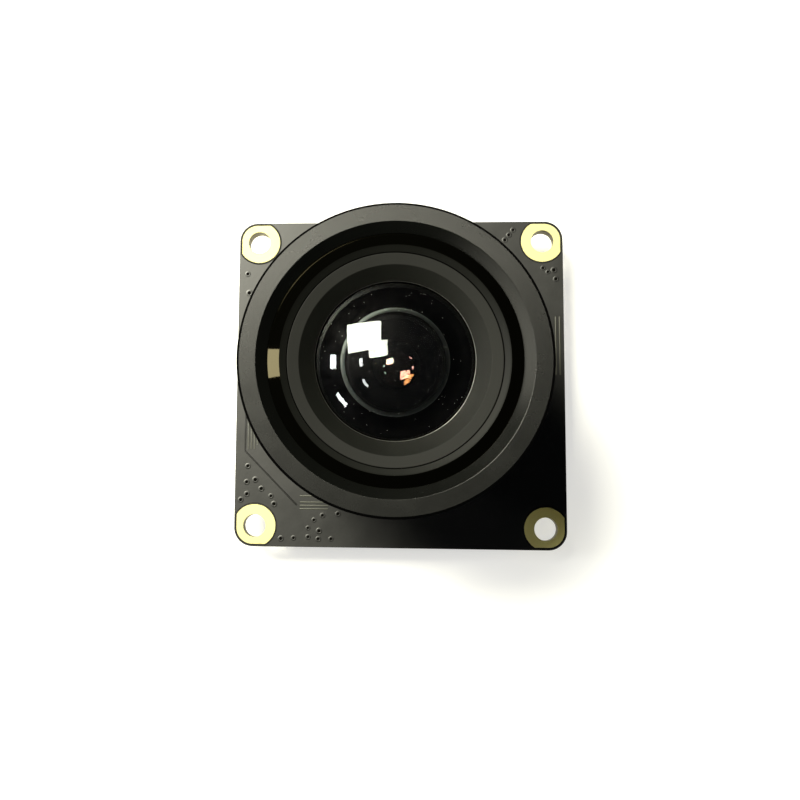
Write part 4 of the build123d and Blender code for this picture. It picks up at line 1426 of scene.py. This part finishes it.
    def lay_traces(self, name: str, runs: list[list[tuple[float, float]]], finish: Finish) -> None:
        """Sweep a round section along each run, sunk so that only its crown shows.

        Args:
            name: Name of the new piece.
            runs: Corner points of each trace, in millimetres.
            finish: Finish of the traces.
        """
        front = self.datum.front
        vertices: list[Vector] = []
        edges: list[tuple[int, int]] = []
        for run in runs:
            start = len(vertices)
            vertices += [Vector((x, y, front - self.trace_sink)) * MM for x, y in run]
            edges += [(start + step, start + step + 1) for step in range(len(run) - 1)]
        mesh = bpy.data.meshes.new(name)
        mesh.from_pydata(vertices, edges, [])
        recipe = Recipe(name)
        width = recipe.ask("Radius", "Float")
        path = recipe.add("GeometryNodeMeshToCurve", {"Mesh": recipe.source})
        recipe.finish(recipe.sweep(path.outputs[0], width, 16), {"Finish": None})
        piece = recipe.run(name, mesh, {"Radius": self.trace_radius * MM, "Finish": finish.build()})
        publish(piece, "solder_mask")

    def via_spots(self) -> list[tuple[float, float]]:
        """Centres of the masked vias that show round the hood.

        Returns:
            The centres in millimetres.
        """
        left = [(-15.14, 10.84), (-14.95, 8.91), (-14.75, -8.27), (-14.0, -9.59), (-14.84, -9.82)]
        low_left = [(-13.39, -10.46), (-14.81, -10.98), (-12.43, -11.15), (-12.12, -11.92), (-15.39, -11.54)]
        low = [(-7.37, -12.97), (-8.2, -13.41), (-5.87, -12.8), (-8.77, -14.18), (-7.7, -14.45)]
        edge = [(-11.4, -15.22), (-10.17, -15.15), (-8.76, -15.04), (-7.76, -15.22), (-6.53, -15.2)]
        upper = [(10.38, 14.16), (11.18, 15.16), (10.78, 14.66)]
        right = [(14.06, 11.33), (14.54, 10.93), (15.12, 11.12), (15.3, 10.23)]
        return left + low_left + low + edge + upper + right

    def build_vias(self, lathe: Lathe) -> None:
        """Set a small crater with a raised rim at each via.

        Args:
            lathe: The lathe that turns the crater.
        """
        # Each crater's pit is painted black: the painted shade of the open hole.
        finishes = [SOLDER_MASK.build(), VIA_HOLE_SHADE.build()]
        crater = lathe.turn("via_crater", list(self.via_outline), finishes, 20)
        crater.data.transform(Matrix.Translation((0, 0, -self.datum.front * MM)))
        spots = bpy.data.meshes.new("solder_vias")
        spots.from_pydata([self.datum.point(x, y, 0) for x, y in self.via_spots()], [], [])
        recipe = Recipe("solder_vias")
        shape = recipe.ask("Crater", "Object")
        seed = recipe.ask("Seed", "Int")
        info = recipe.add("GeometryNodeObjectInfo", {"Object": shape})
        size = recipe.add("FunctionNodeRandomValue", {2: 0.8, 3: 1.15, "Seed": seed}, data_type="FLOAT")
        placed = recipe.add(
            "GeometryNodeInstanceOnPoints",
            {"Points": recipe.source, "Instance": info.outputs["Geometry"], "Scale": size.outputs[1]},
        )
        whole = recipe.add("GeometryNodeRealizeInstances", {"Geometry": placed.outputs[0]})
        recipe.finish(whole.outputs[0], {"Finish": None, "Pit shade finish": recipe.coated(1)})
        values = {"Crater": crater, "Seed": self.via_seed, "Finish": finishes[0], "Pit shade finish": finishes[1]}
        publish(recipe.run("solder_vias", spots, values), "solder_mask")
        bpy.data.objects.remove(crater)

    def build(self, lathe: Lathe) -> None:
        """Build the board and what is printed and plated on it.

        Args:
            lathe: The lathe that turns the vias.
        """
        self.build_board()
        self.build_pads()
        self.build_traces()
        self.build_vias(lathe)


def join(name: str, parts: list[Object]) -> Object:
    """Join mesh objects that share their materials into one new object.

    Args:
        name: The new object's name.
        parts: The objects, which are removed.

    Returns:
        The joined object.
    """
    whole = bmesh.new()
    for part in parts:
        whole.from_mesh(part.data)
    mesh = bpy.data.meshes.new(name)
    for material in parts[0].data.materials:
        mesh.materials.append(material)
    whole.to_mesh(mesh)
    whole.free()
    shade(mesh, PLATE_ANGLE)
    for part in parts:
        bpy.data.objects.remove(part)
    return add_object(name, mesh)


@dataclass
class CarriedParts:
    """The remaining CAD pieces, each redone with merged faces and broken edges."""

    nodes: dict[str, Object]
    slots: dict[str, str]
    edge_breaks: dict[str, float] = field(
        default_factory=lambda: {
            "lens_holder": 0.12,
            "lock_ring": 0.06,
            "holder_screws": 0.06,
            "cable_socket": 0.08,
            "audio_socket": 0.08,
            "tantalum_capacitors": 0.12,
            "chip_terminals": 0.05,
            "chip_capacitors": 0.03,
            "tantalum_terminals": 0.06,
            "inductor_terminals": 0.05,
        }
    )
    fine_break: float = 0.03
    merge_distance: float = 1e-6
    flat_angle: float = math.radians(0.5)
    sharp_angle: float = math.radians(40)

    def redo(self, node: str) -> Object:
        """Copy a CAD piece, merge its triangles and break its edges.

        Args:
            node: The CAD node's name.

        Returns:
            The new object.
        """
        shell = bmesh.new()
        shell.from_mesh(self.nodes[node].data)
        bmesh.ops.remove_doubles(shell, verts=shell.verts[:], dist=self.merge_distance)
        bmesh.ops.dissolve_limit(
            shell, angle_limit=self.flat_angle, verts=shell.verts[:], edges=shell.edges[:]
        )
        mesh = bpy.data.meshes.new(f"{node}_finished")
        shell.to_mesh(mesh)
        shell.free()
        shade(mesh)
        piece = add_object(f"{node}_finished", mesh)
        bevel = piece.modifiers.new("broken_edges", "BEVEL")
        bevel.width = self.edge_breaks.get(node, self.fine_break) * MM
        bevel.segments = 2
        bevel.limit_method = "ANGLE"
        bevel.angle_limit = self.sharp_angle
        bevel.harden_normals = True
        return piece

    def build(self, done: set[str]) -> None:
        """Finish every CAD piece that no other class has replaced.

        Args:
            done: Nodes that are already replaced.
        """
        for node in sorted(set(self.nodes) - done):
            slot = self.slots[node]
            piece = self.redo(node)
            finish = GLASSES.get(node) or FINISHES[slot]
            piece.data.materials.append(finish.build())
            publish(piece, slot, node)


@dataclass(frozen=True)
class Panel:
    """An area light that hangs one metre from the module and faces it.

    The direction points to it from the module, along is the direction of its long side and
    its size is in metres. It reaches only the pieces whose names start in one of the given
    ways, or all of them where none is given.
    """

    name: str
    direction: tuple[float, float, float]
    along: tuple[float, float, float]
    size: tuple[float, float]
    radiance: float
    colour: str = "#ffffff"
    reaches: tuple[str, ...] = ()

    def hang(self) -> None:
        """Put the light into the scene."""
        data = bpy.data.lights.new(self.name, "AREA")
        data.shape = "RECTANGLE"
        data.size = self.size[0]
        data.size_y = self.size[1]
        data.energy = self.radiance * math.pi * data.size * data.size_y
        data.color = linear(self.colour)[:3]
        light = bpy.data.objects.new(self.name, data)
        back = Vector(self.direction).normalized()
        side = Vector(self.along)
        side = (side - back * side.dot(back)).normalized()
        turned = Matrix((side, back.cross(side), back)).transposed().to_4x4()
        light.matrix_world = Matrix.Translation(back) @ turned
        bpy.context.scene.collection.objects.link(light)
        if self.reaches:
            lit = bpy.data.collections.new(f"{self.name}_receivers")
            for piece in bpy.context.scene.objects:
                if piece.type == "MESH" and piece.name.startswith(self.reaches):
                    lit.objects.link(piece)
            light.light_linking.receiver_collection = lit


DAYLIGHT = "#fffce8"
WARM_LIGHT = "#fff6c7"
GLASS_NODES = ("front_lens", "second_lens", "third_lens")
PANELS = (
    # The window: its picture is the large bright patch in the front lens.
    Panel("window_main", (-0.406, 0.397, 0.823), (0.92, 0.14, 0.36), (0.45, 0.39), 10.1, DAYLIGHT),
    # A strip overhead for the flat face of the hood.
    Panel("key_strip", (-0.165, 0.225, 0.96), (1, 0, 0), (0.55, 0.05), 4.8, DAYLIGHT, ("front_hood",)),
    # A long pale wall low on the left, for the chamfer of the hood and the cone of the ring.
    Panel(
        "wall_left",
        (-0.92, -0.26, 0.25),
        (-0.27, 0.96, 0),
        (1.6, 0.34),
        0.95,
        DAYLIGHT,
        ("front_hood", "retaining_ring"),
    ),
    # A large pale sheet overhead that lifts the floor alone.
    Panel("paper_fill", (0, 0, 1), (1, 0, 0), (1.2, 1.2), 0.16, DAYLIGHT, ("floor",)),
    # Warm light on the pads from the far side, for the one that stands in the shade of the hood.
    Panel(
        "pad_fill",
        (0.406, -0.397, 0.823),
        (0.92, 0.14, 0.36),
        (0.45, 0.39),
        0.46,
        WARM_LIGHT,
        ("mounting_pads_gold",),
    ),
    # Two small lamps at the left and lower left: short bright marks in the glass.
    Panel("lamp_left", (-0.758, 0.087, 0.647), (0.65, 0.05, 0.76), (0.09, 0.17), 8.6),
    Panel("lamp_low", (-0.665, -0.37, 0.648), (0.55, -0.75, 0.1), (0.19, 0.06), 9.0, reaches=GLASS_NODES),
)


@dataclass
class Studio:
    """Pale floor, dim room and the camera, with the lights of the list above."""

    floor_side: float = 1.6
    floor_colour: str = "#f4f4f2"
    floor_glow: float = 0.16
    room_light: tuple[float, float, float, float] = (0.9, 0.95, 1.0, 1.0)
    room_strength: float = 0.006
    exposure: float = 1.75
    lens_mm: float = 53.784
    sensor_mm: float = 36.0
    shift_x: float = 0.092
    shift_y: float = -0.0788
    camera_place: tuple[float, float, float] = (2.3042, -11.6012, 121.2147)
    camera_right: tuple[float, float, float] = (0.99675855, 0.01140991, -0.079638)
    camera_up: tuple[float, float, float] = (-0.00041803, 0.99061306, 0.13669525)

    def build_floor(self) -> None:
        """Lay the pale floor that the module rests on."""
        half = self.floor_side / 2
        mesh = bpy.data.meshes.new("floor")
        corners = [(-half, -half, 0), (half, -half, 0), (half, half, 0), (-half, half, 0)]
        mesh.from_pydata(corners, [], [(0, 1, 2, 3)])
        # Matt white paper with a little light of its own, so that it shows white without gloss.
        material = bpy.data.materials.new("paper_matt_white")
        material.use_nodes = True
        shader = material.node_tree.nodes["Principled BSDF"]
        shader.inputs["Base Color"].default_value = linear(self.floor_colour)
        shader.inputs["Roughness"].default_value = 0.9
        shader.inputs["Emission Color"].default_value = (1.0, 1.0, 1.0, 1.0)
        shader.inputs["Emission Strength"].default_value = self.floor_glow
        mesh.materials.append(material)
        add_object("floor", mesh)

    def build_world(self) -> None:
        """Fill the room with a dim, slightly blue light."""
        world = bpy.data.worlds.new("room")
        world.use_nodes = True
        background = world.node_tree.nodes["Background"]
        background.inputs["Color"].default_value = self.room_light
        background.inputs["Strength"].default_value = self.room_strength
        bpy.context.scene.world = world

    def build_camera(self) -> None:
        """Set the camera over the module, a little to one side."""
        data = bpy.data.cameras.new("camera")
        data.sensor_width = self.sensor_mm
        data.lens = self.lens_mm
        data.shift_x = self.shift_x
        data.shift_y = self.shift_y
        data.clip_start = 0.01
        data.clip_end = 10.0
        camera = bpy.data.objects.new("camera", data)
        right = Vector(self.camera_right)
        upward = Vector(self.camera_up)
        turned = Matrix((right, upward, right.cross(upward))).transposed().to_4x4()
        camera.matrix_world = Matrix.Translation(Vector(self.camera_place) * MM) @ turned
        bpy.context.scene.collection.objects.link(camera)
        bpy.context.scene.camera = camera

    def build(self) -> None:
        """Set up the whole studio."""
        self.build_floor()
        for panel in PANELS:
            panel.hang()
        self.build_world()
        self.build_camera()
        view = bpy.context.scene.view_settings
        view.view_transform = "Standard"
        view.exposure = self.exposure


def main() -> None:
    """Load the frame, dress every piece and set up the studio."""
    logging.basicConfig(level=logging.INFO, format="%(message)s")
    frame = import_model()
    datum = Datum.from_frame()
    slots = {entry["node"]: entry["material_slot"] for entry in frame["record"]["subparts"]}
    lathe = Lathe(datum)
    LensGroup(lathe).build()
    Board(datum).build(lathe)
    done = {node for node, piece in frame["nodes"].items() if piece.hide_render}
    CarriedParts(frame["nodes"], slots).build(done)
    Studio().build()


if __name__ == "__main__":
    main()
